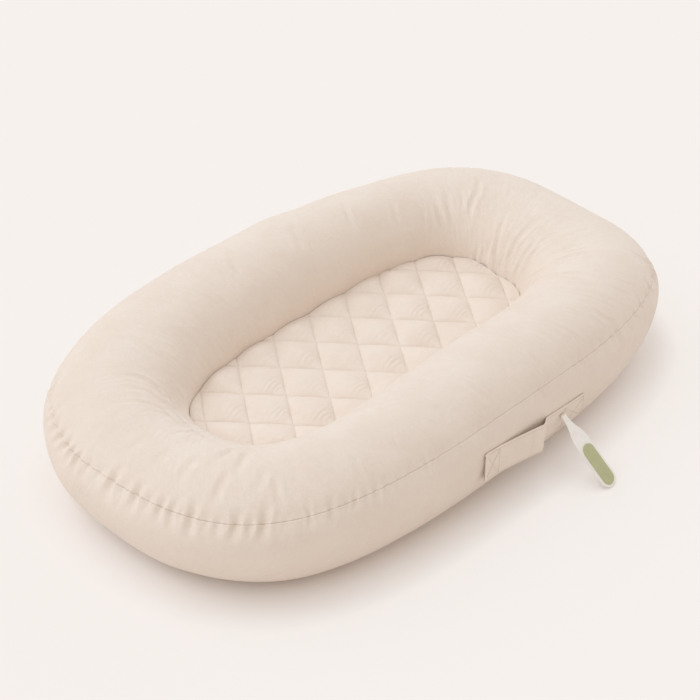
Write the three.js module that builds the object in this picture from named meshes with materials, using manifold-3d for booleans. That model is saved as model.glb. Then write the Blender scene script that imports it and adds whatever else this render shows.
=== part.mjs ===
// Infant lounger: a padded ring round a quilted bed, with a carry handle on one long side, a stiff hang tag
// beside the handle and a zip in the base that lets the washable cover come off its filling.
// Millimetres. +X points to the head end, -Y to the long side with the handle, +Z up. The floor is z = 0.

import * as THREE from 'three';
import { mergeVertices } from 'three/addons/utils/BufferGeometryUtils.js';
import Module from 'manifold-3d';

const wasm = await Module();
wasm.setup();

// Ring seen from above
const loungerLength = 791;
const loungerWidth = 478;
const wellLength = 460;
const wellWidth = 192;
const wellShift = -3;
const headSquareness = 3.36;
const footSquareness = 2.71;
const wellSquareness = 2.98;
const loungerTaperShare = -0.1;
const wellTaperShare = 0.04;
const sectionLean = 0.3;
const stationEvenShare = 0.125;
const stationCount = 44;

// Ring cut across
const sideHeight = 170;
const endHeight = 147.5;
const equatorShare = 0.564;
const floorPress = 4;
const seamAngle = 27;
const seamAngleDrift = -3;
const seamDraw = 2.5;
const seamReachAngle = 9;
const coverThickness = 1.5;
const linerThickness = 0.9;
const linerEase = 1;
const linerSlitAngle = 10;
const seatGap = 0.3;

// Quilted bed
const bedHeight = 90;
const bedEdgeDrop = 6;
const puffHeight = 7;
const bedCrownPower = 6;
const quiltCellLength = 64.4;
const quiltCellWidth = 82;
const quiltTurn = 7;
const quiltTurnAcross = 3.5;
const quiltStartX = -30;
const quiltStartY = 7.4;
const bedFaceThickness = 8.5;
const bedBackingThickness = 1.2;
const bedCoreBottom = 15;
const bedCoreEase = 3;
const bedCoreRound = 12;

// Base and zip
const baseThickness = 1.6;
const zipOffset = 85;
const zipLength = 340;
const zipRecess = 8;
const zipRecessWidth = 52;
const zipRecessRamp = 10;
const zipSlotWidth = 10;
const tapeWidth = 13;
const tapeThickness = 0.8;
const coilWidth = 2.8;
const coilHeight = 2.2;
const coilGap = 1.2;
const coilEdgeCut = 0.4;
const stopLength = 4;
const sliderLength = 15;
const sliderNoseWidth = 8.6;
const sliderWidth = 10.4;
const sliderPlate = 1.2;
const sliderLip = 0.8;
const runningGap = 0.5;
const dividerLength = 5;
const bridgeBarRadius = 0.8;
const bridgePostThickness = 1;
const pullLength = 24;
const pullWidth = 7;
const pullThickness = 1.2;
const pullNeckWidth = 3.4;
const pullBoreRadius = 1.1;
const pullEyeRadius = 1.9;
const pullSlotLength = 10;
const pullSlotWidth = 3;

// Carry handle
const handleFootX = -41;
const handleHeadX = 139;
const handleWidth = 40;
const handleThickness = 2.4;
const handleFootTop = 100;
const handleHeadTop = 83;
const footSewnLength = 26;
const headSewnLength = 49;
const handleStandOff = 9;
const handleJointGap = 0.5;
const spanRiseShare = 0.34;
const spanFallShare = 0.72;
const spanPlumbShare = 0.8;

// Hang tag
const tagLength = 103;
const tagWidth = 24;
const tagNeckWidth = 7;
const tagThickness = 1.6;
const tagRim = 3;
const tagInlayThickness = 0.6;
const tagShoulderShare = 0.42;
const tagSetback = 5;
const tagPivotDrop = 9;
const tagBarRadius = 1.2;
const tagTabRadius = 2.6;
const tagTabWidth = 8;
const tagLean = 8;
const tagSwing = 80;
const tagMouthMargin = 40;
const tagTipClearance = 0.6;

// Fineness of round pieces and of the search for the wall
const roundSegments = 16;
const wallSearchSteps = 40;

const halfLength = loungerLength / 2;
const halfWidth = loungerWidth / 2;
const radians = THREE.MathUtils.degToRad;
const lerp = THREE.MathUtils.lerp;

const lounger = new THREE.Group();

// Colours of the finishes
const finishes = {
  coverCotton: { color: '#e6d6c8', roughness: 0.95 },
  quiltCotton: { color: '#ead9cb', roughness: 0.95 },
  strapCotton: { color: '#dcc9b8', roughness: 0.93 },
  liningCotton: { color: '#f2ece2', roughness: 0.95 },
  fibreFill: { color: '#f7f5f0', roughness: 1 },
  zipTape: { color: '#ddcfc0', roughness: 0.9 },
  zipNylon: { color: '#d6c6b4', roughness: 0.5 },
  zipMetal: { color: '#c4b6a2', roughness: 0.35, metalness: 0.9 },
  tagCard: { color: '#f3efe8', roughness: 0.8 },
  tagSage: { color: '#b7b88f', roughness: 0.85 },
};

function addPiece(name, geometry, finish) {
  const mesh = new THREE.Mesh(geometry, new THREE.MeshStandardMaterial(finishes[finish]));
  mesh.name = name;
  lounger.add(mesh);
  return mesh;
}

// Closed solids from points

// Turns the faces of a closed solid outwards if its volume comes out negative.
function facingOut(geometry) {
  const position = geometry.getAttribute('position');
  const index = geometry.getIndex();
  const a = new THREE.Vector3();
  const b = new THREE.Vector3();
  const c = new THREE.Vector3();
  let volume = 0;
  for (let i = 0; i < index.count; i += 3) {
    a.fromBufferAttribute(position, index.getX(i));
    b.fromBufferAttribute(position, index.getX(i + 1));
    c.fromBufferAttribute(position, index.getX(i + 2));
    volume += a.dot(b.cross(c));
  }
  if (volume < 0) {
    index.array.reverse();
  }
  geometry.computeVertexNormals();
  return geometry;
}

function solidFromRows(rows, faces) {
  const geometry = new THREE.BufferGeometry();
  geometry.setFromPoints(rows.flat());
  geometry.setIndex(faces);
  return facingOut(geometry);
}

function quad(a, b, c, d) {
  return [a, b, c, a, c, d];
}

// A loop of points carried once round the ring: both ways closed, like a tyre.
function ringSolid(loopAt) {
  const rows = ringStations.map(loopAt);
  const across = rows[0].length;
  const faces = [];
  for (let i = 0; i < rows.length; i++) {
    const here = i * across;
    const next = ((i + 1) % rows.length) * across;
    for (let j = 0; j < across; j++) {
      const k = (j + 1) % across;
      faces.push(...quad(here + j, next + j, next + k, here + k));
    }
  }
  return solidFromRows(rows, faces);
}

// Outlines of equal count stacked one over the other, closed at both ends by a fan round a middle point.
function stackedSolid(rows) {
  const around = rows[0].length;
  const faces = [];
  for (let i = 0; i + 1 < rows.length; i++) {
    for (let j = 0; j < around; j++) {
      const k = (j + 1) % around;
      faces.push(...quad(i * around + j, i * around + k, (i + 1) * around + k, (i + 1) * around + j));
    }
  }
  const middles = [rows[0], rows[rows.length - 1]].map((row) => {
    const middle = new THREE.Vector3();
    row.forEach((point) => middle.addScaledVector(point, 1 / around));
    return middle;
  });
  const lowMiddle = rows.length * around;
  const last = (rows.length - 1) * around;
  for (let j = 0; j < around; j++) {
    const k = (j + 1) % around;
    faces.push(k, j, lowMiddle);
    faces.push(last + j, last + k, lowMiddle + 1);
  }
  return solidFromRows([...rows, middles], faces);
}

// A sheet given as two grids of points, its front and its back, joined round the edge.
function sheetSolid(front, back) {
  const rows = front.length;
  const columns = front[0].length;
  const at = (side, i, j) => (side * rows + i) * columns + j;
  const faces = [];
  for (let i = 0; i + 1 < rows; i++) {
    for (let j = 0; j + 1 < columns; j++) {
      faces.push(...quad(at(0, i, j), at(0, i + 1, j), at(0, i + 1, j + 1), at(0, i, j + 1)));
      faces.push(...quad(at(1, i, j), at(1, i, j + 1), at(1, i + 1, j + 1), at(1, i + 1, j)));
    }
  }
  for (let i = 0; i + 1 < rows; i++) {
    faces.push(...quad(at(0, i, 0), at(1, i, 0), at(1, i + 1, 0), at(0, i + 1, 0)));
    const j = columns - 1;
    faces.push(...quad(at(0, i, j), at(0, i + 1, j), at(1, i + 1, j), at(1, i, j)));
  }
  for (let j = 0; j + 1 < columns; j++) {
    faces.push(...quad(at(0, 0, j), at(0, 0, j + 1), at(1, 0, j + 1), at(1, 0, j)));
    const i = rows - 1;
    faces.push(...quad(at(0, i, j), at(1, i, j), at(1, i, j + 1), at(0, i, j + 1)));
  }
  return solidFromRows([...front, ...back], faces);
}

// Joins and cuts

function toManifold(geometry) {
  const bare = geometry.clone();
  bare.deleteAttribute('normal');
  bare.deleteAttribute('uv');
  const merged = mergeVertices(bare);
  return new wasm.Manifold(new wasm.Mesh({
    numProp: 3,
    vertProperties: new Float32Array(merged.getAttribute('position').array),
    triVerts: new Uint32Array(merged.getIndex().array),
  }));
}

function fromManifold(manifold) {
  const mesh = manifold.getMesh();
  const geometry = new THREE.BufferGeometry();
  geometry.setAttribute('position', new THREE.BufferAttribute(mesh.vertProperties, 3));
  geometry.setIndex(new THREE.BufferAttribute(mesh.triVerts, 1));
  geometry.computeVertexNormals();
  return geometry;
}

function joined(first, ...others) {
  return fromManifold(others.reduce((whole, other) => whole.add(toManifold(other)), toManifold(first)));
}

function cutFrom(whole, ...cutters) {
  return fromManifold(cutters.reduce((rest, cutter) => rest.subtract(toManifold(cutter)), toManifold(whole)));
}

function shared(first, second) {
  return fromManifold(toManifold(first).intersect(toManifold(second)));
}

// A box given by its lowest and highest corners.
function boxBetween(low, high) {
  const size = high.map((value, i) => value - low[i]);
  const box = new THREE.BoxGeometry(...size);
  return box.translate(...low.map((value, i) => value + size[i] / 2));
}

function extruded(shape, depth, curveSegments = 8) {
  return new THREE.ExtrudeGeometry(shape, { depth, bevelEnabled: false, curveSegments });
}

// Ring surface

function planPoint(halfX, halfY, headPower, footPower, taper, turn) {
  const along = Math.cos(turn);
  const aside = Math.sin(turn);
  const power = 2 / (along > 0 ? headPower : footPower);
  const x = halfX * Math.sign(along) * Math.abs(along) ** power;
  const y = halfY * Math.sign(aside) * Math.abs(aside) ** power * (1 + taper * x / halfX);
  return new THREE.Vector2(x, y);
}

// One cut through the ring: its outer and inner plan points, its heights and the angle of its outer seam.
function sectionAt(turn) {
  const outer = planPoint(halfLength, halfWidth, headSquareness, footSquareness, loungerTaperShare, turn);
  const wellTurn = turn - sectionLean * Math.sin(2 * turn);
  const wellSize = [wellLength / 2, wellWidth / 2, wellSquareness, wellSquareness, wellTaperShare];
  const inner = planPoint(...wellSize, wellTurn);
  inner.x += wellShift;
  const towardsEnd = outer.x / halfLength;
  const height = lerp(sideHeight, endHeight, towardsEnd ** 2);
  const seam = radians(seamAngle + seamAngleDrift * towardsEnd);
  return { outer, inner, height, equator: height * equatorShare, seam };
}

// A point of the ring's skin. Angle 0 is the outer side, a quarter turn the crest, a half turn the well.
function ringPoint(section, angle, inset) {
  const { outer, inner, height, equator, seam } = section;
  const reach = outer.distanceTo(inner) / 2;
  const sine = Math.sin(angle);
  const rise = sine > 0 ? height - equator : equator + floorPress;
  const draw = seamDraw * Math.exp(-(((angle - seam) / radians(seamReachAngle)) ** 2));
  const inwards = inset + draw;
  const share = 0.5 - 0.5 * Math.cos(angle) * (1 - inwards / reach);
  const place = outer.clone().lerp(inner, share);
  return new THREE.Vector3(place.x, place.y, Math.max(equator + (rise - inwards) * sine, inset));
}

// The angle on the well side at which the skin crosses a height below the ring's widest level, or the floor.
function wellAngleAt(section, level) {
  const below = THREE.MathUtils.clamp((section.equator - level) / (section.equator + floorPress), 0, 1);
  return Math.PI + Math.asin(below);
}

const ringStations = Array.from({ length: stationCount }, (_, i) => {
  const even = (2 * Math.PI * i) / stationCount;
  return sectionAt(even - stationEvenShare * Math.sin(4 * even));
});

// A strip of the skin with a thickness, from one angle to another: out along the front, home along the back.
function stripLoop(section, from, to, steps, frontInset, backInset) {
  const angles = Array.from({ length: steps + 1 }, (_, i) => lerp(from, to, i / steps));
  const front = angles.map((angle) => ringPoint(section, angle, frontInset));
  const back = angles.map((angle) => ringPoint(section, angle, backInset));
  return [...front, ...back.reverse()];
}

// Cover, lining and filling of the ring

const bedEdge = bedHeight - bedEdgeDrop;
const upperSteps = 11;
const lowerSteps = 10;
const linerSteps = 11;
const seamHalfGapAngle = seatGap / wellWidth;

addPiece('upper_cover', ringSolid((section) => {
  const wellEdge = wellAngleAt(section, bedEdge);
  return stripLoop(section, section.seam + seamHalfGapAngle, wellEdge, upperSteps, 0, coverThickness);
}), 'coverCotton');

// The lower cover ends on the floor, where the skin leaves it on the well side.
addPiece('lower_cover', ringSolid((section) => {
  const floorEdge = wellAngleAt(section, 0) - 2 * Math.PI;
  return stripLoop(section, section.seam - seamHalfGapAngle, floorEdge, lowerSteps, 0, coverThickness);
}), 'coverCotton');

// The lining is one bag with a stuffing slit under the ring.
const linerInset = coverThickness + seatGap + linerEase;
const linerFrom = -Math.PI / 2 - radians(linerSlitAngle / 2) + radians(linerSlitAngle);
const linerTo = linerFrom + 2 * Math.PI - radians(linerSlitAngle);

addPiece('ring_liner', ringSolid((section) => stripLoop(
  section, linerFrom, linerTo, linerSteps, linerInset, linerInset + linerThickness,
)), 'liningCotton');

// The filling's loop runs the same way as the back of the lining, so that their facets split alike.
addPiece('ring_filling', ringSolid((section) => Array.from({ length: linerSteps + 1 }, (_, i) => ringPoint(
  section, lerp(linerTo, linerFrom, i / linerSteps), linerInset + linerThickness + seatGap,
))), 'fibreFill');

// Bed inside the ring

// The outline of the well at its tightest, moved in by a given amount.
function wellOutline(inset, z) {
  return ringStations.map(({ outer, inner }) => {
    const step = inner.clone().sub(outer).setLength(inset);
    return new THREE.Vector3(inner.x + step.x, inner.y + step.y, z);
  });
}

function extrudedOutline(outline, bottom, top) {
  const corners = outline.map((point) => new THREE.Vector2(point.x, point.y));
  return extruded(new THREE.Shape(corners), top - bottom).translate(0, 0, bottom);
}

// The stitching runs where either quilt coordinate is half way between two whole numbers.
const middle = new THREE.Vector2();
const quiltAlong = new THREE.Vector2(quiltCellLength / 2, 0).rotateAround(middle, radians(quiltTurn));
const quiltAcross = new THREE.Vector2(0, -quiltCellWidth / 2).rotateAround(middle, radians(quiltTurnAcross));
const bedFaceBottom = bedHeight - bedFaceThickness;

// How near a point is to the rim of the well: 0 in the middle, 1 on the rim.
function rimShare(x, y) {
  const alongShare = Math.abs(x - wellShift) / (wellLength / 2);
  const asideShare = Math.abs(y) / (wellWidth / 2);
  return Math.min((alongShare ** wellSquareness + asideShare ** wellSquareness) ** (1 / wellSquareness), 1);
}

function bedFaceGeometry() {
  const cellSteps = 4;
  const reach = Math.ceil((wellLength / quiltCellLength + wellWidth / quiltCellWidth) / 2) + 1;
  const top = [];
  const bottom = [];
  for (let i = -reach * cellSteps; i <= reach * cellSteps; i++) {
    const topRow = [];
    const bottomRow = [];
    for (let j = -reach * cellSteps; j <= reach * cellSteps; j++) {
      const p = i / cellSteps + 0.5;
      const q = j / cellSteps + 0.5;
      const x = quiltStartX + (p - q) * quiltAlong.x + (p + q) * quiltAcross.x;
      const y = quiltStartY + (p - q) * quiltAlong.y + (p + q) * quiltAcross.y;
      const rim = rimShare(x, y);
      const crown = 1 - rim ** bedCrownPower;
      const puff = Math.sqrt(Math.abs(Math.cos(Math.PI * p) * Math.cos(Math.PI * q)));
      const z = bedHeight - bedEdgeDrop * (1 - crown) + puffHeight * puff * crown;
      topRow.push(new THREE.Vector3(x, y, z));
      bottomRow.push(new THREE.Vector3(x, y, bedFaceBottom - bedFaceThickness));
    }
    top.push(topRow);
    bottom.push(bottomRow);
  }
  const block = sheetSolid(top, bottom);
  const rim = extrudedOutline(wellOutline(seatGap, 0), bedFaceBottom, bedHeight + 2 * puffHeight);
  return shared(block, rim);
}

addPiece('bed_face', bedFaceGeometry(), 'quiltCotton');

const backingTop = bedFaceBottom - seatGap;
const backingBottom = backingTop - bedBackingThickness;
addPiece('bed_backing', stackedSolid([
  wellOutline(2 * seatGap, backingBottom),
  wellOutline(2 * seatGap, backingTop),
]), 'liningCotton');

// The core is a flat cushion with round edges, drawn in towards its top and bottom.
const coreTop = backingBottom - seatGap;
const coreRows = [];
const coreSteps = 3;
for (const [side, level] of [[-1, bedCoreBottom], [1, coreTop]]) {
  for (let i = 0; i <= coreSteps; i++) {
    const angle = (Math.PI / 2) * (side < 0 ? i : coreSteps - i) / coreSteps;
    const inset = bedCoreEase + bedCoreRound * (1 - Math.sin(angle));
    coreRows.push(wellOutline(inset, level - side * bedCoreRound * (1 - Math.cos(angle))));
  }
}
addPiece('bed_core', stackedSolid(coreRows), 'fibreFill');

// Base panel in two halves beside the zip

// Maps a shape drawn in Y and Z, extruded by its depth, so that it runs along X round the middle.
function alongX(geometry, depth) {
  const turned = new THREE.Matrix4().makeBasis(
    new THREE.Vector3(0, 1, 0), new THREE.Vector3(0, 0, 1), new THREE.Vector3(1, 0, 0),
  );
  return geometry.applyMatrix4(turned).translate(-depth / 2, 0, 0);
}

function baseOutline() {
  return ringStations.map((section) => {
    const edge = ringPoint(section, wellAngleAt(section, 0), 0);
    const inwards = section.inner.clone().sub(section.outer).setLength(seatGap);
    return new THREE.Vector3(edge.x + inwards.x, edge.y + inwards.y, 0);
  });
}

// A low mound round the zip line with sloping sides and ends, standing on a foot of the same outline.
function zipMound(footZ, shoulderZ, topZ) {
  const level = (margin, z) => [[-1, -1], [1, -1], [1, 1], [-1, 1]].map(([sideX, sideY]) => new THREE.Vector3(
    sideX * (zipLength / 2 + 3 * stopLength + margin),
    zipOffset + sideY * (zipRecessWidth / 2 - zipRecessRamp + margin),
    z,
  ));
  return stackedSolid([level(zipRecessRamp, footZ), level(zipRecessRamp, shoulderZ), level(0, topZ)]);
}

// The base rises over the zip, so that the slider clears the floor.
const baseFlat = extrudedOutline(baseOutline(), 0, baseThickness);
const baseSheet = cutFrom(
  joined(baseFlat, zipMound(0, baseThickness, zipRecess + baseThickness)),
  zipMound(-baseThickness, 0, zipRecess),
  boxBetween(
    [-zipLength / 2 - 2 * stopLength, zipOffset - zipSlotWidth / 2, -baseThickness],
    [zipLength / 2 + 2 * stopLength, zipOffset + zipSlotWidth / 2, 2 * zipRecess],
  ),
);
for (const [name, side] of [['base_panel', 1], ['base_flap', -1]]) {
  const edges = [zipOffset - side * seatGap / 2, zipOffset + side * loungerWidth];
  addPiece(name, cutFrom(baseSheet, boxBetween(
    [-loungerLength, Math.min(...edges), -baseThickness],
    [loungerLength, Math.max(...edges), 2 * zipRecess],
  )), 'liningCotton');
}

// Zip

const tapeBottom = zipRecess + baseThickness + seatGap;
const tapeTop = tapeBottom + tapeThickness;
const coilTop = tapeBottom - seatGap;
const coilBottom = coilTop - coilHeight;
const stopX = zipLength / 2;

for (const [name, side] of [['near', -1], ['far', 1]]) {
  const tapeEdges = [zipOffset + side * coilGap / 2, zipOffset + side * (coilGap / 2 + tapeWidth)];
  addPiece(`zip_tape_${name}`, boxBetween(
    [-stopX - 2 * stopLength, Math.min(...tapeEdges), tapeBottom],
    [stopX + 2 * stopLength, Math.max(...tapeEdges), tapeTop],
  ), 'zipTape');
  const inner = zipOffset + side * coilGap / 2;
  const outer = inner + side * coilWidth;
  const coil = [
    new THREE.Vector2(inner, coilTop),
    new THREE.Vector2(inner, coilBottom + coilEdgeCut),
    new THREE.Vector2(inner + side * coilEdgeCut, coilBottom),
    new THREE.Vector2(outer - side * coilEdgeCut, coilBottom),
    new THREE.Vector2(outer, coilBottom + coilEdgeCut),
    new THREE.Vector2(outer, coilTop),
  ];
  addPiece(`zip_coil_${name}`, alongX(extruded(new THREE.Shape(coil), zipLength), zipLength), 'zipNylon');
}

for (const [name, side] of [['foot', -1], ['head', 1]]) {
  const edges = [side * (stopX + seatGap), side * (stopX + seatGap + stopLength)];
  addPiece(`zip_stop_${name}`, boxBetween(
    [Math.min(...edges), zipOffset - coilWidth - coilGap, coilBottom],
    [Math.max(...edges), zipOffset + coilWidth + coilGap, coilTop],
  ), 'zipMetal');
}

// Slider, closed up against the foot stop

const sliderFoot = -stopX + runningGap;
const sliderMiddle = sliderFoot + sliderLength / 2;
const lowerPlateTop = coilBottom - runningGap;
const lowerPlateBottom = lowerPlateTop - sliderPlate;
const upperPlateBottom = tapeTop + runningGap;
const bridgeZ = lowerPlateBottom - pullEyeRadius - seatGap;

function sliderPlateSolid(bottom, top) {
  const outline = [
    new THREE.Vector2(sliderFoot, zipOffset - sliderNoseWidth / 2),
    new THREE.Vector2(sliderFoot + sliderLength, zipOffset - sliderWidth / 2),
    new THREE.Vector2(sliderFoot + sliderLength, zipOffset + sliderWidth / 2),
    new THREE.Vector2(sliderFoot, zipOffset + sliderNoseWidth / 2),
  ];
  return extruded(new THREE.Shape(outline), top - bottom).translate(0, 0, bottom);
}

function cylinderAlongY(radius, width, x, z) {
  return new THREE.CylinderGeometry(radius, radius, width, roundSegments).translate(x, zipOffset, z);
}

function sliderGeometry() {
  const lower = sliderPlateSolid(lowerPlateBottom, lowerPlateTop);
  const upper = sliderPlateSolid(upperPlateBottom, upperPlateBottom + sliderPlate);
  const dividerThickness = coilGap / 2;
  const divider = boxBetween(
    [sliderMiddle - dividerLength / 2, zipOffset - dividerThickness / 2, lowerPlateBottom + sliderPlate / 2],
    [sliderMiddle + dividerLength / 2, zipOffset + dividerThickness / 2, upperPlateBottom + sliderPlate / 2],
  );
  const lipTop = tapeBottom - runningGap;
  const lips = [-1, 1].map((side) => {
    const edges = [side * (sliderNoseWidth / 2), side * (sliderNoseWidth / 2 - sliderLip)];
    return boxBetween(
      [sliderFoot, zipOffset + Math.min(...edges), lowerPlateBottom],
      [sliderFoot + sliderLength, zipOffset + Math.max(...edges), lipTop],
    );
  });
  const postInner = pullNeckWidth / 2 + seatGap;
  const posts = [-1, 1].map((side) => {
    const edges = [side * postInner, side * (postInner + bridgePostThickness)];
    return boxBetween(
      [sliderMiddle - bridgeBarRadius, zipOffset + Math.min(...edges), bridgeZ - bridgeBarRadius],
      [sliderMiddle + bridgeBarRadius, zipOffset + Math.max(...edges), lowerPlateBottom + sliderPlate / 2],
    );
  });
  const bar = cylinderAlongY(bridgeBarRadius, 2 * postInner + bridgePostThickness, sliderMiddle, bridgeZ);
  return joined(lower, upper, divider, ...lips, ...posts, bar);
}

addPiece('zip_slider', sliderGeometry(), 'zipMetal');

function pullGeometry() {
  const neckEnd = sliderMiddle + sliderLength / 2;
  const blade = boxBetween(
    [neckEnd, zipOffset - pullWidth / 2, bridgeZ - pullThickness / 2],
    [sliderMiddle + pullLength, zipOffset + pullWidth / 2, bridgeZ + pullThickness / 2],
  );
  const neck = boxBetween(
    [sliderMiddle, zipOffset - pullNeckWidth / 2, bridgeZ - pullThickness / 2],
    [neckEnd + pullThickness, zipOffset + pullNeckWidth / 2, bridgeZ + pullThickness / 2],
  );
  const eye = cylinderAlongY(pullEyeRadius, pullNeckWidth, sliderMiddle, bridgeZ);
  const bore = cylinderAlongY(pullBoreRadius, 2 * pullNeckWidth, sliderMiddle, bridgeZ);
  const slotMiddle = (neckEnd + sliderMiddle + pullLength) / 2;
  const slot = boxBetween(
    [slotMiddle - pullSlotLength / 2, zipOffset - pullSlotWidth / 2, bridgeZ - pullThickness],
    [slotMiddle + pullSlotLength / 2, zipOffset + pullSlotWidth / 2, bridgeZ + pullThickness],
  );
  return cutFrom(joined(blade, neck, eye), bore, slot);
}

const zipPull = addPiece('zip_pull', pullGeometry(), 'zipMetal');
zipPull.userData.hinge = { point: [sliderMiddle, zipOffset, bridgeZ], axis: [0, 1, 0] };

// Carry handle

// The outer skin on the handle's side at a given x and height.
function nearWall(x, z) {
  let low = Math.PI;
  let high = 2 * Math.PI;
  let point;
  for (let i = 0; i < wallSearchSteps; i++) {
    const turn = (low + high) / 2;
    const section = sectionAt(turn);
    const below = z < section.equator;
    const rise = below ? section.equator + floorPress : section.height - section.equator;
    point = ringPoint(section, Math.asin(THREE.MathUtils.clamp((z - section.equator) / rise, -1, 1)), 0);
    if (point.x < x) {
      low = turn;
    } else {
      high = turn;
    }
  }
  return point;
}

function wallNormal(x, z) {
  const step = seatGap;
  const sideways = nearWall(x + step, z).sub(nearWall(x - step, z));
  const upwards = nearWall(x, z + step).sub(nearWall(x, z - step));
  return sideways.cross(upwards).normalize();
}

const handleLength = handleHeadX - handleFootX;
const handleSlope = (handleHeadTop - handleFootTop) / handleLength;
const acrossSteps = 4;

function handleTop(x) {
  return handleFootTop + handleSlope * (x - handleFootX);
}

// A point of a band lying on the wall, at a share of its width down from its upper edge.
function bandOnWall(x, downShare, lift) {
  const z = handleTop(x) - downShare * handleWidth;
  return nearWall(x, z).addScaledVector(wallNormal(x, z), lift);
}

function sewnEnd(fromX, toX, steps) {
  const grid = (lift) => Array.from({ length: steps + 1 }, (_, i) => Array.from(
    { length: acrossSteps + 1 },
    (_, j) => bandOnWall(lerp(fromX, toX, i / steps), j / acrossSteps, lift),
  ));
  return sheetSolid(grid(seatGap + handleThickness), grid(seatGap));
}

const spanFrom = handleFootX + footSewnLength;
const spanTo = handleHeadX - headSewnLength;
addPiece('handle_end_foot', sewnEnd(handleFootX, spanFrom, 3), 'strapCotton');
addPiece('handle_end_head', sewnEnd(spanTo, handleHeadX, 4), 'strapCotton');

function smooth(share) {
  const t = THREE.MathUtils.clamp(share, 0, 1);
  return t * t * (3 - 2 * t);
}

// The span leaves the wall near the foot end, runs along it, and comes back in a short bend at the head end.
function spanBulge(share) {
  return smooth(share / spanRiseShare) * smooth((1 - share) / (1 - spanFallShare));
}

function spanPoint(share, downShare, lift) {
  const x = lerp(spanFrom + handleJointGap, spanTo - handleJointGap, share);
  const bulge = spanBulge(share);
  const onWall = bandOnWall(x, downShare, seatGap + lift);
  const upper = bandOnWall(x, 0, seatGap + lift);
  const outwards = wallNormal(x, handleTop(x)).setZ(0).normalize();
  const plumb = upper.clone().add(new THREE.Vector3(0, 0, -downShare * handleWidth));
  return onWall.lerp(plumb, bulge * spanPlumbShare).addScaledVector(outwards, bulge * handleStandOff);
}

function handleSpanGeometry() {
  const steps = 16;
  const grid = (lift) => Array.from({ length: steps + 1 }, (_, i) => Array.from(
    { length: acrossSteps + 1 },
    (_, j) => spanPoint(i / steps, j / acrossSteps, lift),
  ));
  return sheetSolid(grid(handleThickness), grid(0));
}

const handleSpan = addPiece('handle_span', handleSpanGeometry(), 'strapCotton');
const handleHinge = [spanPoint(0, 0, 0), spanPoint(1, 0, 0)];
handleSpan.userData.hinge = {
  point: handleHinge[0].toArray(),
  axis: handleHinge[0].clone().sub(handleHinge[1]).normalize().toArray(),
};

// Hang tag: its rolled upper end turns in a folded tab that is sewn to the handle's head end

const tagPivotX = spanTo + tagSetback;
const tagPivot = bandOnWall(
  tagPivotX, tagPivotDrop / handleWidth, 2 * seatGap + handleThickness + tagTabRadius,
);
const tagHalf = tagWidth / 2;
const tagReach = (tagLength - tagHalf) * Math.cos(radians(tagLean)) + tagHalf;
const tagDip = Math.asin((tagPivot.z - tagTipClearance - tagThickness / 2) / tagReach);

// In the tag's own frame X runs along its bar, Y away from the wall and down, and Z out of its face.
const awayFromWall = wallNormal(tagPivotX, handleTop(tagPivotX)).setZ(0).normalize();
const tagAlongBar = new THREE.Vector3(awayFromWall.y, -awayFromWall.x, 0);
const tagDown = awayFromWall.clone().multiplyScalar(Math.cos(tagDip)).setZ(-Math.sin(tagDip));
const tagFrame = new THREE.Matrix4()
  .makeBasis(tagAlongBar, tagDown, tagAlongBar.clone().cross(tagDown))
  .setPosition(tagPivot);

// A slim card that widens from its neck to a round end, leaning a little to the head end in its own plane.
function tagCardShape() {
  const neck = tagNeckWidth / 2;
  const shoulder = tagLength * tagShoulderShare;
  const shape = new THREE.Shape();
  shape.moveTo(-neck, 0);
  shape.bezierCurveTo(-neck, shoulder / 2, -tagHalf, shoulder / 2, -tagHalf, shoulder);
  shape.lineTo(-tagHalf, tagLength - tagHalf);
  shape.absarc(0, tagLength - tagHalf, tagHalf, Math.PI, 0, true);
  shape.lineTo(tagHalf, shoulder);
  shape.bezierCurveTo(tagHalf, shoulder / 2, neck, shoulder / 2, neck, 0);
  return shape;
}

function tagInlayShape() {
  const half = tagHalf - tagRim;
  const shape = new THREE.Shape();
  shape.absarc(0, tagLength * tagShoulderShare + half, half, Math.PI, 2 * Math.PI, false);
  shape.absarc(0, tagLength - tagHalf, half, 0, Math.PI, false);
  return shape;
}

function plate(shape, bottom, top) {
  return extruded(shape, top - bottom).translate(0, 0, bottom).rotateZ(radians(tagLean));
}

const tagBar = new THREE.CylinderGeometry(tagBarRadius, tagBarRadius, tagNeckWidth, roundSegments)
  .rotateZ(Math.PI / 2);
const tagPlate = plate(tagCardShape(), -tagThickness / 2, tagThickness / 2);
const tagCard = addPiece('tag_card', joined(tagPlate, tagBar).applyMatrix4(tagFrame), 'tagCard');
tagCard.userData.hinge = { point: tagPivot.toArray(), axis: tagAlongBar.toArray() };

const inlayBottom = tagThickness / 2 + seatGap;
const tagInlay = plate(tagInlayShape(), inlayBottom, inlayBottom + tagInlayThickness);
addPiece('tag_inlay', tagInlay.applyMatrix4(tagFrame), 'tagSage');

// The tab is a fold round the tag's bar, open over the angles through which the tag swings.
function tagTabGeometry() {
  const from = radians(tagSwing + tagMouthMargin);
  const to = 2 * Math.PI - radians(tagMouthMargin);
  const shape = new THREE.Shape();
  shape.absarc(0, 0, tagTabRadius, from, to, false);
  shape.absarc(0, 0, tagBarRadius + seatGap, to, from, true);
  const fold = extruded(shape, tagTabWidth, 10);
  return fold.translate(0, 0, -tagTabWidth / 2).rotateX(Math.PI / 2).rotateZ(Math.PI / 2);
}

addPiece('tag_tab', tagTabGeometry().applyMatrix4(tagFrame), 'strapCotton');

export default lounger;
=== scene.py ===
# %% [markdown]
# # An infant lounger in Blender
#
# The lounger is a fat padded ring round a quilted bed, all in brushed cream cotton. Nearly everything on
# it is cloth, so nearly everything here is a fine grid of points laid on the simple CAD solids and then
# gathered, quilted and creased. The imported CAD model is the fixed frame, and every length is in metres.

# %% Load the frame and keep the CAD model's box
import math

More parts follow.
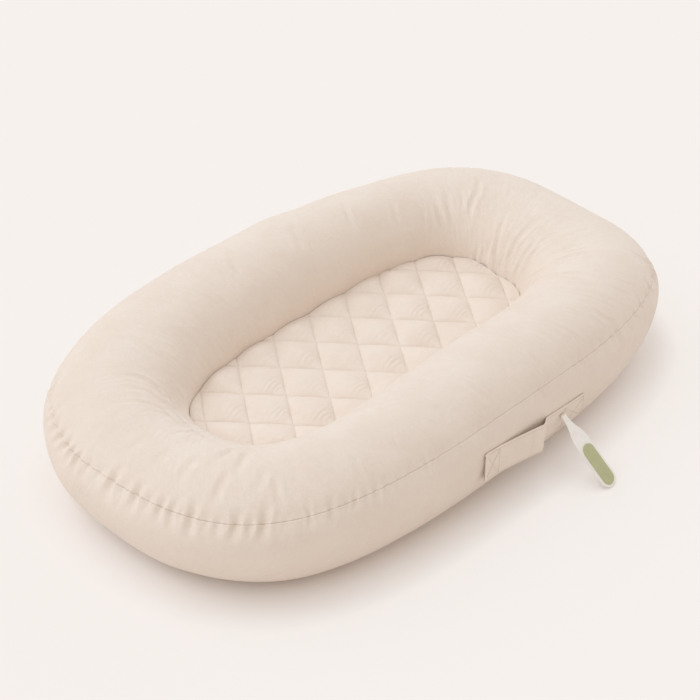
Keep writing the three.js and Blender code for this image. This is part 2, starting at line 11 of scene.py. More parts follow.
import bpy
import numpy as np
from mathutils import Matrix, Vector


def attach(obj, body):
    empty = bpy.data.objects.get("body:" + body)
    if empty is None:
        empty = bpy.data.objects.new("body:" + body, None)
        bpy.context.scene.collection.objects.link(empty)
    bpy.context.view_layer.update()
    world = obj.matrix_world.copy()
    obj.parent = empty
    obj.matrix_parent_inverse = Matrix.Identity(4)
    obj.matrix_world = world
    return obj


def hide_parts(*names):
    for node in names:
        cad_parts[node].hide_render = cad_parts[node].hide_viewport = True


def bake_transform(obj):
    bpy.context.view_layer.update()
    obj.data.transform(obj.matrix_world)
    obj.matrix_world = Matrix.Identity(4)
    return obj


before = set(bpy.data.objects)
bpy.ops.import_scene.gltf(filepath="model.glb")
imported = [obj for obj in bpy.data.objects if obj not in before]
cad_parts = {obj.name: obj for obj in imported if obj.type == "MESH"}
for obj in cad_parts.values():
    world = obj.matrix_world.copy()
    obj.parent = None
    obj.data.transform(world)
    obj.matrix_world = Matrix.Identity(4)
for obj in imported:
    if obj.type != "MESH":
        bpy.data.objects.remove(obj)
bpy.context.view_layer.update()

# %% [markdown]
# ## Camera
# The picture is taken from the foot end's near corner, well above the floor and with a long lens. A long
# lens far away keeps the two ends of the ring nearly the same size, as they are in the picture.

# %% Camera
CAMERA_AZIMUTH = math.radians(-42.8)
CAMERA_ELEVATION = math.radians(37.73)
CAMERA_DISTANCE = 2.719
CAMERA_TARGET = Vector((0.0226, 0.0478, 0.05))
CAMERA_LENS = 114.4

camera_back = Vector((
    math.sin(CAMERA_AZIMUTH) * math.cos(CAMERA_ELEVATION),
    -math.cos(CAMERA_AZIMUTH) * math.cos(CAMERA_ELEVATION),
    math.sin(CAMERA_ELEVATION),
))
camera = bpy.data.objects.new("camera", bpy.data.cameras.new("camera"))
camera.data.lens = CAMERA_LENS
camera.location = CAMERA_TARGET + camera_back * CAMERA_DISTANCE
camera.rotation_euler = (-camera_back).to_track_quat("-Z", "Y").to_euler()
bpy.context.scene.collection.objects.link(camera)
bpy.context.scene.camera = camera
print("the camera stands", round(CAMERA_DISTANCE, 2), "m away, with a", CAMERA_LENS, "mm lens")

# %% [markdown]
# ## The ring's form
# A sewn ring has no flat side: any cut across it is a rounded section that stands between the outer
# outline and the outline of the well. Both outlines are rounded rectangles given by a power curve, and the
# section is half an ellipse above its widest level and half an ellipse below it, pressed flat on the floor.
# Writing it as a formula, and not as a sculpted mesh, lets every later piece find its place on it.

# %% Outlines of the ring
MM = 0.001
HALF_LENGTH, HALF_WIDTH = 0.3955, 0.239
WELL_HALF_LENGTH, WELL_HALF_WIDTH, WELL_SHIFT = 0.230, 0.096, -0.003
HEAD_POWER, FOOT_POWER, WELL_POWER = 3.36, 2.71, 2.98
RING_TAPER, WELL_TAPER = -0.1, 0.04
SECTION_LEAN = 0.3


def outline(turn, half_x, half_y, head_power, foot_power, taper):
    """A rounded rectangle in plan, with its own power at each end and one end wider than the other."""
    along, aside = np.cos(turn), np.sin(turn)
    power = 2 / np.where(along > 0, head_power, foot_power)
    x = half_x * np.sign(along) * np.abs(along) ** power
    y = half_y * np.sign(aside) * np.abs(aside) ** power * (1 + taper * x / half_x)
    return np.stack([x, y], -1)


# The well is a little fuller than a power curve: degrees round it, their reach and the share it is wider by.
WELL_EASE = [(56, 22, 0.055), (98, 40, 0.014), (170, 36, 0.034)]


def well_ease(along, aside):
    """How much wider the well is towards a place, given as shares of its half length and half width."""
    bearing = np.degrees(np.arctan2(aside, along))
    off = [(bearing - middle + 180) % 360 - 180 for middle, _, _ in WELL_EASE]
    return sum(share * np.exp(-((o / reach) ** 2)) for o, (_, reach, share) in zip(off, WELL_EASE))


def well_outline(turn):
    """The well's rim in plan. The turn leans, so that the cuts stay square to the ring at its corners."""
    turn = turn - SECTION_LEAN * np.sin(2 * turn)
    edge = outline(turn, WELL_HALF_LENGTH, WELL_HALF_WIDTH, WELL_POWER, WELL_POWER, WELL_TAPER)
    ease = well_ease(edge[..., 0] / WELL_HALF_LENGTH, edge[..., 1] / WELL_HALF_WIDTH)
    return edge * (1 + ease)[..., None] + np.array([WELL_SHIFT, 0])


well_size = [round(2 * half / MM) for half in (WELL_HALF_LENGTH, WELL_HALF_WIDTH)]
print("the well is about", well_size[0], "by", well_size[1], "mm")

# %% Distance round the outer outline
DENSE_STEPS, CORNER_CROWDING = 60001, 0.2499
even = np.linspace(0, 2 * math.pi, DENSE_STEPS)
dense_turn = even - CORNER_CROWDING * np.sin(4 * even)
dense_outer = outline(dense_turn, HALF_LENGTH, HALF_WIDTH, HEAD_POWER, FOOT_POWER, RING_TAPER)
dense_arc = np.concatenate([[0], np.cumsum(np.linalg.norm(np.diff(dense_outer, axis=0), axis=1))])
RING_ROUND = dense_arc[-1]
TABLE_PLACES, TABLE_SOFTEN = 2400, 0.022


def round_ring(arc, start):
    """How far a place lies from a start, going the shorter way round the ring."""
    return (arc - start + RING_ROUND / 2) % RING_ROUND - RING_ROUND / 2


def round_table(rows):
    """A smooth function of the distance round the ring, from rows of millimetres round and a value."""
    at, value = np.array(rows, float).T
    places = np.arange(TABLE_PLACES) * RING_ROUND / TABLE_PLACES
    values = np.interp(places, at * MM, value, period=RING_ROUND)
    bell = np.exp(-((round_ring(places, 0) / TABLE_SOFTEN) ** 2))
    soft = np.real(np.fft.ifft(np.fft.fft(values) * np.fft.fft(bell / bell.sum())))
    return lambda arc: np.interp(arc, places, soft, period=RING_ROUND)


print(DENSE_STEPS, "places measured round the outer outline")

# %% Where the filled ring has settled
# The wall over the well has sunk inwards most by the foot end's near corner: millimetres round the ring and
# millimetres inwards, then the degrees over the ring at which it has sunk most. The last table holds single
# swells: millimetres round, degrees over, their reach in both, and millimetres outwards.
WELL_SLUMP = round_table([
    (250, 0), (800, 1), (900, 5), (970, 6), (1080, 4.5), (1120, 3.5), (1190, 3.5), (1250, 7.5), (1300, 13.5),
    (1350, 17.5), (1403, 16.5), (1457, 13), (1511, 8), (1565, 3.5), (1620, 0), (1680, -2.2), (1730, -3.6),
    (1790, -2.4), (1890, -3.4), (1960, -2), (2050, 0),
])
SLUMP_ANGLE = round_table([(0, 140), (800, 146), (900, 150), (1050, 144), (1200, 140), (2000, 140)])
SWELLS = [
    (1000, -18, 70, 32, 4.6), (1228, -45, 85, 30, -4.2), (502, 50, 42, 35, 3.2), (330, 57, 66, 35, -3.0),
    (2085, 42, 60, 35, 2.2), (1985, 0, 60, 40, 2.0),
]
RIM_LEVEL, RIM_EASE, SLUMP_SPREAD = 0.096, 0.3, 0.56


def smooth(share):
    """A share of the way from 0 to 1 that starts and ends gently."""
    share = np.clip(share, 0, 1)
    return share * share * (3 - 2 * share)


def settled(cut, angle):
    """How far inwards the skin lies off the plain section. By the bed's rim the wall stands as it was cut."""
    rim_rise = (RIM_LEVEL - cut["equator"]) / (cut["height"] - cut["equator"])
    at_rim = math.pi - np.arcsin(np.clip(rim_rise, -1, 1))
    sunk = cut["slump"] * np.exp(-(((angle - cut["slump_at"]) / SLUMP_SPREAD) ** 2))
    sunk = sunk * smooth((at_rim - angle) / RIM_EASE)
    for arc, middle, reach, wide, out in SWELLS:
        beside = round_ring(cut["arc"], arc * MM) / reach / MM
        over = (angle - math.radians(middle)) / math.radians(wide)
        sunk = sunk - out * MM * np.exp(-(beside**2) - over**2)
    return sunk


print("the wall leans in by up to", round(float(WELL_SLUMP(dense_arc).max()), 1), "mm")

# %% Sections of the ring
SIDE_HEIGHT, END_HEIGHT, EQUATOR_SHARE, FLOOR_PRESS = 0.170, 0.1475, 0.564, 0.004
SEAM_ANGLE, SEAM_DRIFT = math.radians(27), math.radians(-3)
SEAM_DRAW, SEAM_REACH = 1.7 * MM, math.radians(8)
# The sewn seam isn't quite level: it dips beside the foot end's far corner and climbs after it. Rows are
# millimetres round the ring and degrees up.
SEAM_WANDER = round_table([
    (700, 0), (800, -2.4), (900, -4.4), (1000, -4.4), (1080, 0), (1140, 3.6), (1200, 4.2), (1270, 1.6),
    (1340, 0),
])


def sections(turn):
    """The cuts across the ring at these turns: both outlines, the heights and the angle of the seam."""
    outer = outline(turn, HALF_LENGTH, HALF_WIDTH, HEAD_POWER, FOOT_POWER, RING_TAPER)
    inner = well_outline(turn)
    to_end = outer[..., 0] / HALF_LENGTH
    height = SIDE_HEIGHT + (END_HEIGHT - SIDE_HEIGHT) * to_end**2
    arc = np.interp(turn, dense_turn, dense_arc)
    return {
        "arc": arc,
        "slump": WELL_SLUMP(arc) * MM,
        "slump_at": np.radians(SLUMP_ANGLE(arc)),
        "outer": outer,
        "inner": inner,
        "reach": np.linalg.norm(outer - inner, axis=-1) / 2,
        "height": height,
        "equator": height * EQUATOR_SHARE,
        "seam": SEAM_ANGLE + SEAM_DRIFT * to_end + np.radians(SEAM_WANDER(arc)),
    }


def skin(cut, angle, inset=0.0):
    """Points of the skin. Angle 0 is the outer side, a quarter turn the crest and a half turn the well."""
    sine = np.sin(angle)
    rise = np.where(sine > 0, cut["height"] - cut["equator"], cut["equator"] + FLOOR_PRESS)
    inwards = inset + SEAM_DRAW * np.exp(-(((angle - cut["seam"]) / SEAM_REACH) ** 2)) + settled(cut, angle)
    share = 0.5 - 0.5 * np.cos(angle) * (1 - inwards / cut["reach"])
    place = cut["outer"] + share[..., None] * (cut["inner"] - cut["outer"])
    z = np.maximum(cut["equator"] + (rise - inwards) * sine, inset)
    return np.concatenate([place, z[..., None]], -1)


def well_angle(cut, level):
    """The angle on the well side at which the skin crosses a level below the ring's widest one."""
    below = (cut["equator"] - level) / (cut["equator"] + FLOOR_PRESS)
    return math.pi + np.arcsin(np.clip(below, 0, 1))


def column(cut):
    """The same cuts, ready to be carried along an axis of angles."""
    return {name: value[:, None] for name, value in cut.items()}


print("the ring is", round(END_HEIGHT, 3), "m high at its ends and", SIDE_HEIGHT, "m at its sides")

# %% Even stations round the ring
STATIONS = 1440
station_arc = np.arange(STATIONS) * RING_ROUND / STATIONS
station_turn = np.interp(station_arc, dense_arc, dense_turn)
cuts = sections(station_turn)
print(f"the ring is {RING_ROUND:.3f} m round, with a station every {RING_ROUND / STATIONS * 1000:.1f} mm")

# %% [markdown]
# ## Grids of points into meshes
# Every cloth piece is a closed skin with a front and a back, so that its edges show a thickness and the
# mesh could be printed. A grid of points is joined into four-sided faces, and each face corner also gets a
# place on the flat cloth, in metres. The weave is drawn in that flat cloth and so follows every curve.

# %% Mesh builder
CLOTH_MAP = "cloth"
CRISP_ANGLE = math.radians(14)


def make_piece(name, *parts, crisp=False):
    """A mesh object from parts: points, face corners, corners in each face, and flat cloth places.

    A crisp piece keeps its edges sharp in the shading, as cut board does.
    """
    firsts = np.cumsum([0] + [len(part[0]) for part in parts])
    points = np.concatenate([part[0] for part in parts])
    loops = np.concatenate([part[1] + first for part, first in zip(parts, firsts)])
    counts = np.concatenate([part[2] for part in parts])
    starts = np.concatenate([[0], np.cumsum(counts)[:-1]])
    cloth = np.concatenate([part[3] for part in parts])
    mesh = bpy.data.meshes.new(name)
    mesh.vertices.add(len(points))
    mesh.vertices.foreach_set("co", np.ascontiguousarray(points, np.float32).ravel())
    mesh.loops.add(len(loops))
    mesh.loops.foreach_set("vertex_index", np.ascontiguousarray(loops, np.int32))
    mesh.polygons.add(len(starts))
    mesh.polygons.foreach_set("loop_start", np.ascontiguousarray(starts, np.int32))
    mesh.update(calc_edges=True)
    layer = mesh.uv_layers.new(name=CLOTH_MAP)
    layer.data.foreach_set("uv", np.ascontiguousarray(cloth, np.float32).ravel())
    mesh.validate()
    mesh.shade_smooth()
    if crisp:
        mesh.set_sharp_from_angle(angle=CRISP_ANGLE)
    piece = bpy.data.objects.new(name, mesh)
    bpy.context.scene.collection.objects.link(piece)
    return piece


def quads(rows, columns, around, across, first=0):
    """Corner numbers of the faces of a grid, and their rows and columns counted on past a closed edge."""
    i, j = np.meshgrid(
        np.arange(rows if around else rows - 1),
        np.arange(columns if across else columns - 1),
        indexing="ij",
    )
    at = [(i, j), (i + 1, j), (i + 1, j + 1), (i, j + 1)]
    i, j = (np.stack(part, -1).reshape(-1, 4) for part in zip(*at))
    return (i % rows) * columns + j % columns + first, i, j


def volume(points, faces):
    """Six times the volume inside four-sided faces, negative where they look inwards."""
    a, b, c, d = (points[faces[:, k]] for k in range(4))
    return float((a * np.cross(b, c)).sum() + (a * np.cross(c, d)).sum())


def tube_part(points, along, across, around=True):
    """Loops of points carried along a path. An open one gets an end face on its first and last loop."""
    rows, columns = points.shape[:2]
    flat = points.reshape(-1, 3)
    faces, i, j = quads(rows, columns, around, True)
    cloth = np.stack([along[i], across[j]], -1)
    ends = [] if around else [np.arange(columns)[::-1], (rows - 1) * columns + np.arange(columns)]
    if volume(flat, faces) < 0:
        faces, cloth = faces[:, ::-1], cloth[:, ::-1]
        ends = [end[::-1] for end in ends]
    loops = np.concatenate([faces.ravel(), *ends])
    counts = np.array([4] * len(faces) + [columns] * len(ends))
    cloth = np.concatenate([cloth.reshape(-1, 2), np.zeros((columns * len(ends), 2))])
    return flat, loops, counts, cloth


def sheet_part(front, back, along, across):
    """Two grids of points, the front and the back of a sheet, joined round the edge."""
    rows, columns = front.shape[:2]
    flat = np.concatenate([front.reshape(-1, 3), back.reshape(-1, 3)])
    face_front, i, j = quads(rows, columns, False, False)
    face_back = quads(rows, columns, False, False, rows * columns)[0][:, ::-1]
    rim = np.concatenate([
        np.arange(columns),
        np.arange(1, rows) * columns + columns - 1,
        (rows - 1) * columns + np.arange(columns - 2, -1, -1),
        np.arange(rows - 2, 0, -1) * columns,
    ])
    ahead = np.roll(rim, -1)
    low = rows * columns
    face_rim = np.stack([rim, rim + low, ahead + low, ahead], -1)
    faces = np.concatenate([face_front, face_back, face_rim])
    rim_i, rim_j = face_rim % low // columns, face_rim % low % columns
    i = np.concatenate([i, i[:, ::-1], rim_i])
    j = np.concatenate([j, j[:, ::-1], rim_j])
    cloth = np.stack([along[i], across[j]], -1)
    if volume(flat, faces) < 0:
        faces, cloth = faces[:, ::-1], cloth[:, ::-1]
    return flat, faces.ravel(), np.full(len(faces), 4), cloth.reshape(-1, 2)


print("three rows of four points make", len(quads(3, 4, False, False)[0]), "faces, or",
      len(quads(3, 4, True, True)[0]), "when the grid is closed both ways")

# %% Normals of a grid
def grid_normals(points, around=True):
    """Normals of a grid whose rows go round the ring and whose columns go over it."""
    if around:
        along = np.roll(points, -1, 0) - np.roll(points, 1, 0)
    else:
        along = np.gradient(points, axis=0)
    over = np.gradient(points, axis=1)
    normal = np.cross(along, over)
    normal /= np.maximum(np.linalg.norm(normal, axis=-1, keepdims=True), 1e-12)
    return normal


level = np.stack([*np.meshgrid(np.arange(3.0), np.arange(3.0), indexing="ij"), np.zeros((3, 3))], -1)
print("the normal in the middle of a level grid:", grid_normals(level, around=False)[1, 1])

# %% [markdown]
# ## Gathers, folds and lumps
# The flat cut of the cover is longer than the seam it is sewn into, so the cloth is gathered: each gather
# is a short valley square to the seam, deep at the seam and gone within a few centimetres, with a small
# swell on each side. Where the ring turns hard round the ends of the well the spare cloth lies in longer
# soft folds. Under both, the filling is a little lumpy. All three are heights added to the smooth skin. A
# cloth simulation finds such folds too, but a table of folds puts them where the real ones lie.

# %% Valleys in cloth
SWELL_SHARE, SWELL_AT, SWELL_WIDE = 0.42, 1.7, 0.6
GATHER_SETTLE, GATHER_WIDEN = 0.22, 0.7


def hat(u):
    """A valley's cross-section: one deep in the middle, with a swell on both sides."""
    return np.exp(-(u**2)) - SWELL_SHARE * np.exp(-((np.abs(u) - SWELL_AT) ** 2) / SWELL_WIDE)


def press_gather(relief, arc, angle, stretch, start, end, width, depth, kept):
    """Presses a valley from the seam outwards. Its ends are (metres round the ring, degrees over it).

    Kept is the share of the depth that is left soon after the seam.
    """
    (arc_0, angle_0), (arc_1, angle_1) = start, end
    share = np.clip((angle - math.radians(angle_0)) / math.radians(angle_1 - angle_0), 0, 1)
    off = round_ring(arc, arc_0) - (arc_1 - arc_0) * share
    fade = (1 - smooth(share)) * (1 - (1 - kept) * smooth(share / GATHER_SETTLE))
    relief -= depth * fade * hat(off * stretch / (width * (1 + GATHER_WIDEN * share)))


SECTION_RADIUS, FOLD_FADE = 0.074, 0.42


def press_fold(relief, arc, angle, stretch, path, width, depth):
    """Presses a valley along a bent path of (millimetres round, degrees over) places, faded at both ends."""
    along, over = np.array(path, float).T
    along = round_ring(along * MM, along[0] * MM)
    over = np.radians(over) * SECTION_RADIUS
    legs = np.hypot(np.diff(along), np.diff(over))
    nearest = np.full(arc.shape, 1.0)
    share = np.zeros(arc.shape)
    here = round_ring(arc, path[0][0] * MM) * stretch
    for k, leg in enumerate(legs):
        side, up = (along[k + 1] - along[k]) * stretch, over[k + 1] - over[k]
        from_side, from_up = here - along[k] * stretch, angle * SECTION_RADIUS - over[k]
        t = np.clip((from_side * side + from_up * up) / (side**2 + up**2), 0, 1)
        away = np.hypot(from_side - t * side, from_up - t * up)
        share = np.where(away < nearest, (legs[:k].sum() + t * leg) / legs.sum(), share)
        nearest = np.minimum(nearest, away)
    fade = smooth(share / FOLD_FADE) * (1 - smooth((share - 1 + FOLD_FADE) / FOLD_FADE))
    relief -= depth * fade * hat(nearest / (width * (0.8 + 0.4 * np.abs(2 * share - 1))))


print("beside a valley one deep, the cloth swells by", round(-float(hat(SWELL_AT)), 2))

# %% Lumps of the filling
LUMP_COUNT, LUMP_FALL, LUMP_SCALE = 46, 0.7, 3
lump_random = np.random.default_rng(11)
LUMP_WAVES = [
    (int(lump_random.integers(6, 34)), lump_random.uniform(-28, 28), *lump_random.uniform(0, 2 * math.pi, 2))
    for _ in range(LUMP_COUNT)
]


def lumps(arc, over):
    """A smooth unevenness that closes on itself round the ring. Over is the place across it, in metres."""
    total = 0
    for waves, slope, phase, phase_over in LUMP_WAVES:
        turn = 2 * math.pi * waves * arc / RING_ROUND
        swell = np.sin(turn + phase + slope * over) * np.cos(over * (12 + waves) + phase_over)
        total = total + swell / waves**LUMP_FALL
    return total / LUMP_SCALE


print(len(LUMP_WAVES), "waves add up to the lumps")

# %% [markdown]
# ## Ring covers
# The upper cover runs from the outer seam over the crest and down to the bed. The lower one runs from the
# seam under the ring. At the seam both edges turn inwards into a narrow groove: the upper one sharply, the
# lower one in a rounder edge with a low lip under it. The rows of the grid are close together at the seam,
# where the turn is tight, and further apart over the crest.

# %% Rows over the ring
ROW_TABLE = 241


def rows_over(cut, angle_from, angle_to, edge_steps, steps):
    """Angles from one edge to another: given distances in from the first edge, then even steps."""
    table = np.linspace(0, 1, ROW_TABLE)
    angle = angle_from[:, None] + (angle_to - angle_from)[:, None] * table
    points = skin(column(cut), angle)
    length = np.concatenate(
        [np.zeros((len(angle), 1)), np.cumsum(np.linalg.norm(np.diff(points, axis=1), axis=2), axis=1)], 1
    )
    rest = edge_steps[-1] + (length[:, -1:] - edge_steps[-1]) * np.linspace(0, 1, steps + 1)[1:]
    wanted = np.concatenate([np.broadcast_to(edge_steps, (len(angle), len(edge_steps))), rest], 1)
    found = np.stack([np.interp(wanted[k], length[k], angle[k]) for k in range(len(angle))])
    return found, wanted


SEAM_STEPS = np.array([0, 0.12, 0.3, 0.5, 0.75, 1.05, 1.4, 1.8, 2.4, 3.2, 4.2, 5.4]) * MM
SEAM_ROLL_ABOVE, SEAM_ROLL_BELOW, SEAM_LIP = 0.7 * MM, 1.5 * MM, 0.35 * MM
COVER_THICKNESS = 1.2 * MM


def rolled_edge(distance, side):
    """How far the cloth dips as it turns into the seam. Side is 1 above the seam and -1 below it."""
    roll = SEAM_ROLL_ABOVE if side > 0 else SEAM_ROLL_BELOW
    inside = np.clip(1 - distance / roll, 0, 1)
    lip = 0 if side > 0 else SEAM_LIP * np.exp(-(((distance - 1.2 * roll) / roll) ** 2))
    return roll * (1 - np.sqrt(1 - inside**2)) - lip


print("the lower cover turns into the seam over", round(SEAM_ROLL_BELOW / MM, 1), "mm")

# %% The gathers along the outer seam
gather_random = np.random.default_rng(5)


def gather_strength(arc):
    """How strongly the seam is gathered there: most round the foot end, least along the sides."""
    turn = np.interp(arc, station_arc, station_turn)
    foot = np.clip(-np.cos(turn), 0, 1) ** 0.8
    head = np.clip(np.cos(turn), 0, 1) ** 1.5
    return 0.5 + 0.5 * foot + 0.1 * head


# The strongest gathers: millimetres round to the place on the seam, degrees up and down from it, how many
# millimetres further round its upper and lower ends lie, and its width and depth in millimetres.
STRONG_GATHERS = [
    (962, 12, 14, -4, -4, 3.8, 2.0), (980, 13, 12, 4, -4, 3.6, 2.2), (998, 13, 13, 4, -4, 3.6, 2.4),
    (1012, 12, 14, 4, 0, 3.4, 1.8), (1025, 10, 18, 0, 4, 3.8, 2.2), (1046, 9, 14, 2, 0, 3.4, 1.2),
    (1066, 8, 12, 2, 0, 3.2, 1.0), (1088, 17, 18, 5, 0, 4.4, 3.4), (1108, 8, 10, 2, 0, 3.0, 1.0),
    (1129, 14, 15, 5, 0, 4.2, 3.2), (1149, 8, 10, 2, 0, 3.0, 1.0), (1167, 12, 15, 4, 0, 3.6, 2.4),
    (1183, 14, 18, 5, 3, 3.6, 1.8), (1208, 17, 19, 5, 0, 4.2, 3.2), (1228, 6, 10, 1, -1, 3.0, 0.8),
    (1241, 5, 12, 0, -3, 3.4, 1.4), (1262, 13, 14, 3, -4, 4.2, 3.3), (1278, 4, 13, 0, 0, 3.2, 1.1),
    (1293, 18, 15, 6, -4, 4.4, 3.5), (1318, 6, 10, 2, 0, 3.4, 0.8), (1345, 14, 10, 0, 0, 2.6, 1.7),
    (1371, 12, 11, 3, 0, 3.6, 2.0), (1994, 15, 12, 3, -2, 3.6, 2.4), (2010, 12, 10, 3, -2, 3.4, 2.0),
]
GATHER_LONGER, GATHER_NARROWER, GATHER_DEEPER, KEPT_ABOVE = 1.4, 0.98, 1.2, 0.75
CLEAR_OF_STRONG, TABLE_FROM, TABLE_TO = 0.011, 0.955, 1.385


def seam_gathers():
    """The strong gathers, and weaker ones drawn at random wherever the table has none."""
    found = []
    for at, up, down, lean_up, lean_down, width, depth in STRONG_GATHERS:
        found.append([
            at * MM, GATHER_LONGER * up, GATHER_LONGER * down, GATHER_LONGER * lean_up * MM,
            GATHER_LONGER * lean_down * MM, GATHER_NARROWER * width * MM, GATHER_DEEPER * depth * MM,
        ])
    at = 0.0
    while at < RING_ROUND - 0.006:
        strength = gather_strength(at)
        fresh = [
            at, gather_random.uniform(14, 34) * (0.5 + 0.5 * strength),
            gather_random.uniform(13, 30) * (0.6 + 0.4 * strength), *gather_random.normal(0, 3.0, 2) * MM,
            gather_random.uniform(2.6, 5.0) * MM,
            gather_random.uniform(0.3, 1.0) ** 1.3 * 3.2 * MM * strength,
        ]
        clear = all(abs(at - strong[0] * MM) > CLEAR_OF_STRONG for strong in STRONG_GATHERS)
        if clear and not TABLE_FROM < at < TABLE_TO:
            found.append(fresh)
        at += gather_random.uniform(9, 24) * MM / (0.55 + 0.6 * strength)
    return found


GATHERS = seam_gathers()
print(len(GATHERS), "gathers along the outer seam")

# %% The long soft folds
# Each row is a fold's path, as places in millimetres round the ring and degrees over it, then its width and
# its depth in millimetres. The first rows lie by the foot end of the well, the next by its head end and the
# last ones along the sides.
SOFT_FOLDS = [
    ([(1030, 146), (976, 137), (935, 133), (913, 127), (908, 116), (908, 104), (922, 80)], 3.8, 2.0),
    ([(1040, 140), (980, 142), (917, 143), (899, 135), (890, 126), (874, 112)], 3.0, 1.4),
    ([(1180, 125), (1075, 126), (1012, 132), (971, 130), (953, 120), (944, 109), (949, 80)], 3.6, 3.8),
    ([(1195, 123), (1093, 121), (1057, 120), (1016, 118), (998, 110), (989, 100), (985, 74)], 3.4, 3.8),
    ([(1205, 121), (1106, 118), (1075, 118), (1043, 114), (1030, 106), (1021, 84)], 3.2, 2.8),
    ([(1215, 121), (1120, 118), (1093, 114), (1079, 106), (1070, 92)], 3.0, 1.7),
    ([(1240, 119), (1169, 116), (1142, 114), (1124, 105), (1113, 86)], 3.0, 1.7),
    ([(1265, 117), (1205, 115), (1178, 114), (1156, 106), (1145, 86)], 3.6, 1.3),
    ([(1300, 112), (1286, 100), (1273, 90), (1264, 78), (1264, 64)], 6.6, 2.2),
    ([(1258, 84), (1250, 74), (1241, 64), (1237, 55), (1228, 42)], 6.4, 1.7),
    ([(1300, 106), (1277, 102), (1250, 100), (1232, 90), (1219, 78)], 5.4, 2.4),
    ([(1202, 96), (1196, 87), (1187, 75), (1183, 64), (1174, 50)], 7.0, 1.3),
    ([(1308, 84), (1304, 75), (1295, 66), (1286, 59), (1284, 50)], 6.4, 1.1),
    ([(1313, 78), (1313, 67), (1313, 55), (1313, 44), (1313, 33)], 5.4, 1.4),
    ([(1336, 88), (1340, 74), (1346, 56)], 7.0, 0.7),
    ([(1146, 88), (1138, 74), (1132, 58)], 7.0, 0.8),
    ([(1092, 84), (1086, 68), (1082, 54)], 7.0, 0.7),
    ([(172, 150), (171, 132), (166, 120), (157, 105), (157, 92), (152, 72)], 5.2, 1.5),
    ([(184, 146), (184, 133), (184, 118), (189, 108), (190, 94)], 4.6, 0.9),
    ([(228, 156), (234, 139), (243, 123), (252, 108), (258, 96)], 5.4, 1.1),
    ([(202, 158), (207, 142), (216, 127), (220, 112), (222, 98)], 5.4, 1.1),
    ([(200, 196), (216, 173), (238, 160), (256, 146), (270, 136)], 3.6, 0.6),
    ([(8, 198), (22, 168), (50, 150), (63, 133), (68, 119), (76, 100)], 4.4, 2.0),
    ([(85, 198), (85, 170), (85, 160), (81, 146), (86, 130)], 3.8, 1.3),
    ([(138, 198), (135, 168), (130, 160), (129, 144)], 3.6, 1.2),
    ([(106, 198), (103, 167), (99, 158), (93, 142)], 3.6, 1.1),
    ([(2060, 198), (2082, 166), (2118, 149), (2136, 134), (2140, 117), (2145, 88)], 4.4, 1.9),
    ([(2012, 198), (2032, 169), (2050, 153), (2068, 136), (2091, 122), (2102, 100)], 4.0, 1.7),
    ([(1966, 198), (1988, 168), (2010, 153), (2042, 136), (2068, 121), (2086, 98)], 4.0, 1.7),
    ([(1930, 190), (1947, 161), (1961, 150), (1956, 134), (1970, 114), (1974, 99), (1981, 72)], 4.2, 1.5),
    ([(1915, 164), (1911, 140), (1907, 128), (1902, 113), (1902, 99), (1900, 72)], 4.8, 1.6),
    ([(1990, 134), (1997, 122), (2006, 110), (2016, 88)], 5.0, 1.2),
    ([(2055, 42), (2038, 32), (2024, 20)], 4.0, 1.8),
    ([(2003, 62), (1997, 46), (2001, 24)], 4.0, 1.5),
    ([(319, 139), (324, 124), (324, 108)], 5.0, 1.1),
    ([(1704, 66), (1704, 50), (1704, 32)], 5.0, 1.2),
    ([(1659, 69), (1655, 52), (1659, 32)], 5.0, 1.2),
    ([(1601, 71), (1605, 57), (1610, 40)], 5.0, 1.1),
    ([(1776, 61), (1776, 48), (1776, 34)], 5.0, 1.1),
    ([(1542, 74), (1547, 60), (1547, 43)], 5.0, 1.0),
    ([(1596, 93), (1596, 77), (1596, 60)], 5.0, 0.8),
    ([(1740, 80), (1744, 64), (1748, 48)], 5.0, 0.8),
    ([(1830, 66), (1834, 50), (1838, 34)], 5.0, 1.0),
    ([(1416, 69), (1416, 54), (1416, 38)], 6.0, 1.0),
    ([(1475, 71), (1475, 57), (1479, 39)], 6.0, 1.0),
    ([(589, 80), (603, 101), (612, 124)], 7.0, 1.1),
    ([(486, 82), (495, 106), (499, 130)], 7.0, 1.1),
    ([(396, 81), (400, 106), (400, 132)], 6.0, 1.1),
    ([(728, 86), (738, 105), (746, 126)], 7.0, 1.1),
    ([(660, 60), (664, 84), (662, 104)], 7.0, 0.8),
    ([(540, 50), (548, 70), (552, 92)], 7.0, 0.8),
    ([(820, 80), (826, 104), (840, 130)], 6.0, 1.0),
]
FOLD_NARROWER = 0.85
print(len(SOFT_FOLDS), "long soft folds")

# %% Fans of fine folds at both ends of the well
fan_random = np.random.default_rng(21)


def fine_fan(start, end, count, longest, deepest):
    """Fine folds that run up the wall from the bed, between two places in millimetres round the ring."""
    rows = []
    for at in np.linspace(start, end, count):
        foot = at + fan_random.normal(0, 0.3 * (end - start) / count)
        low = fan_random.uniform(166, 178)
        high = low - longest * fan_random.uniform(0.55, 1.0)
        lean = fan_random.normal(0, 9)
        rows.append((
            [(foot, low), (foot + 0.35 * lean, (low + high) / 2), (foot + lean, high)],
            fan_random.uniform(3.2, 5.0), -deepest * fan_random.uniform(0.35, 1.0) ** 1.3,
        ))
    return rows


# These stand up as thin ridges with a hollow on each side, so their depths are negative.
FINE_FOLDS = (
    fine_fan(-130, 60, 6, 84, 0.45) + fine_fan(60, 300, 9, 84, 0.5)
    + fine_fan(880, 1060, 5, 56, 0.4) + fine_fan(1190, 1330, 4, 50, 0.3)
)
print(len(FINE_FOLDS), "fine folds")

# %% Where the carry handle is sewn on, the cloth is held flat
HANDLE_ARC = (1.570, 1.772)
HANDLE_ANGLES = (math.radians(-34), math.radians(9))
HELD_EDGE, HELD_EDGE_ANGLE = 0.012, 0.12


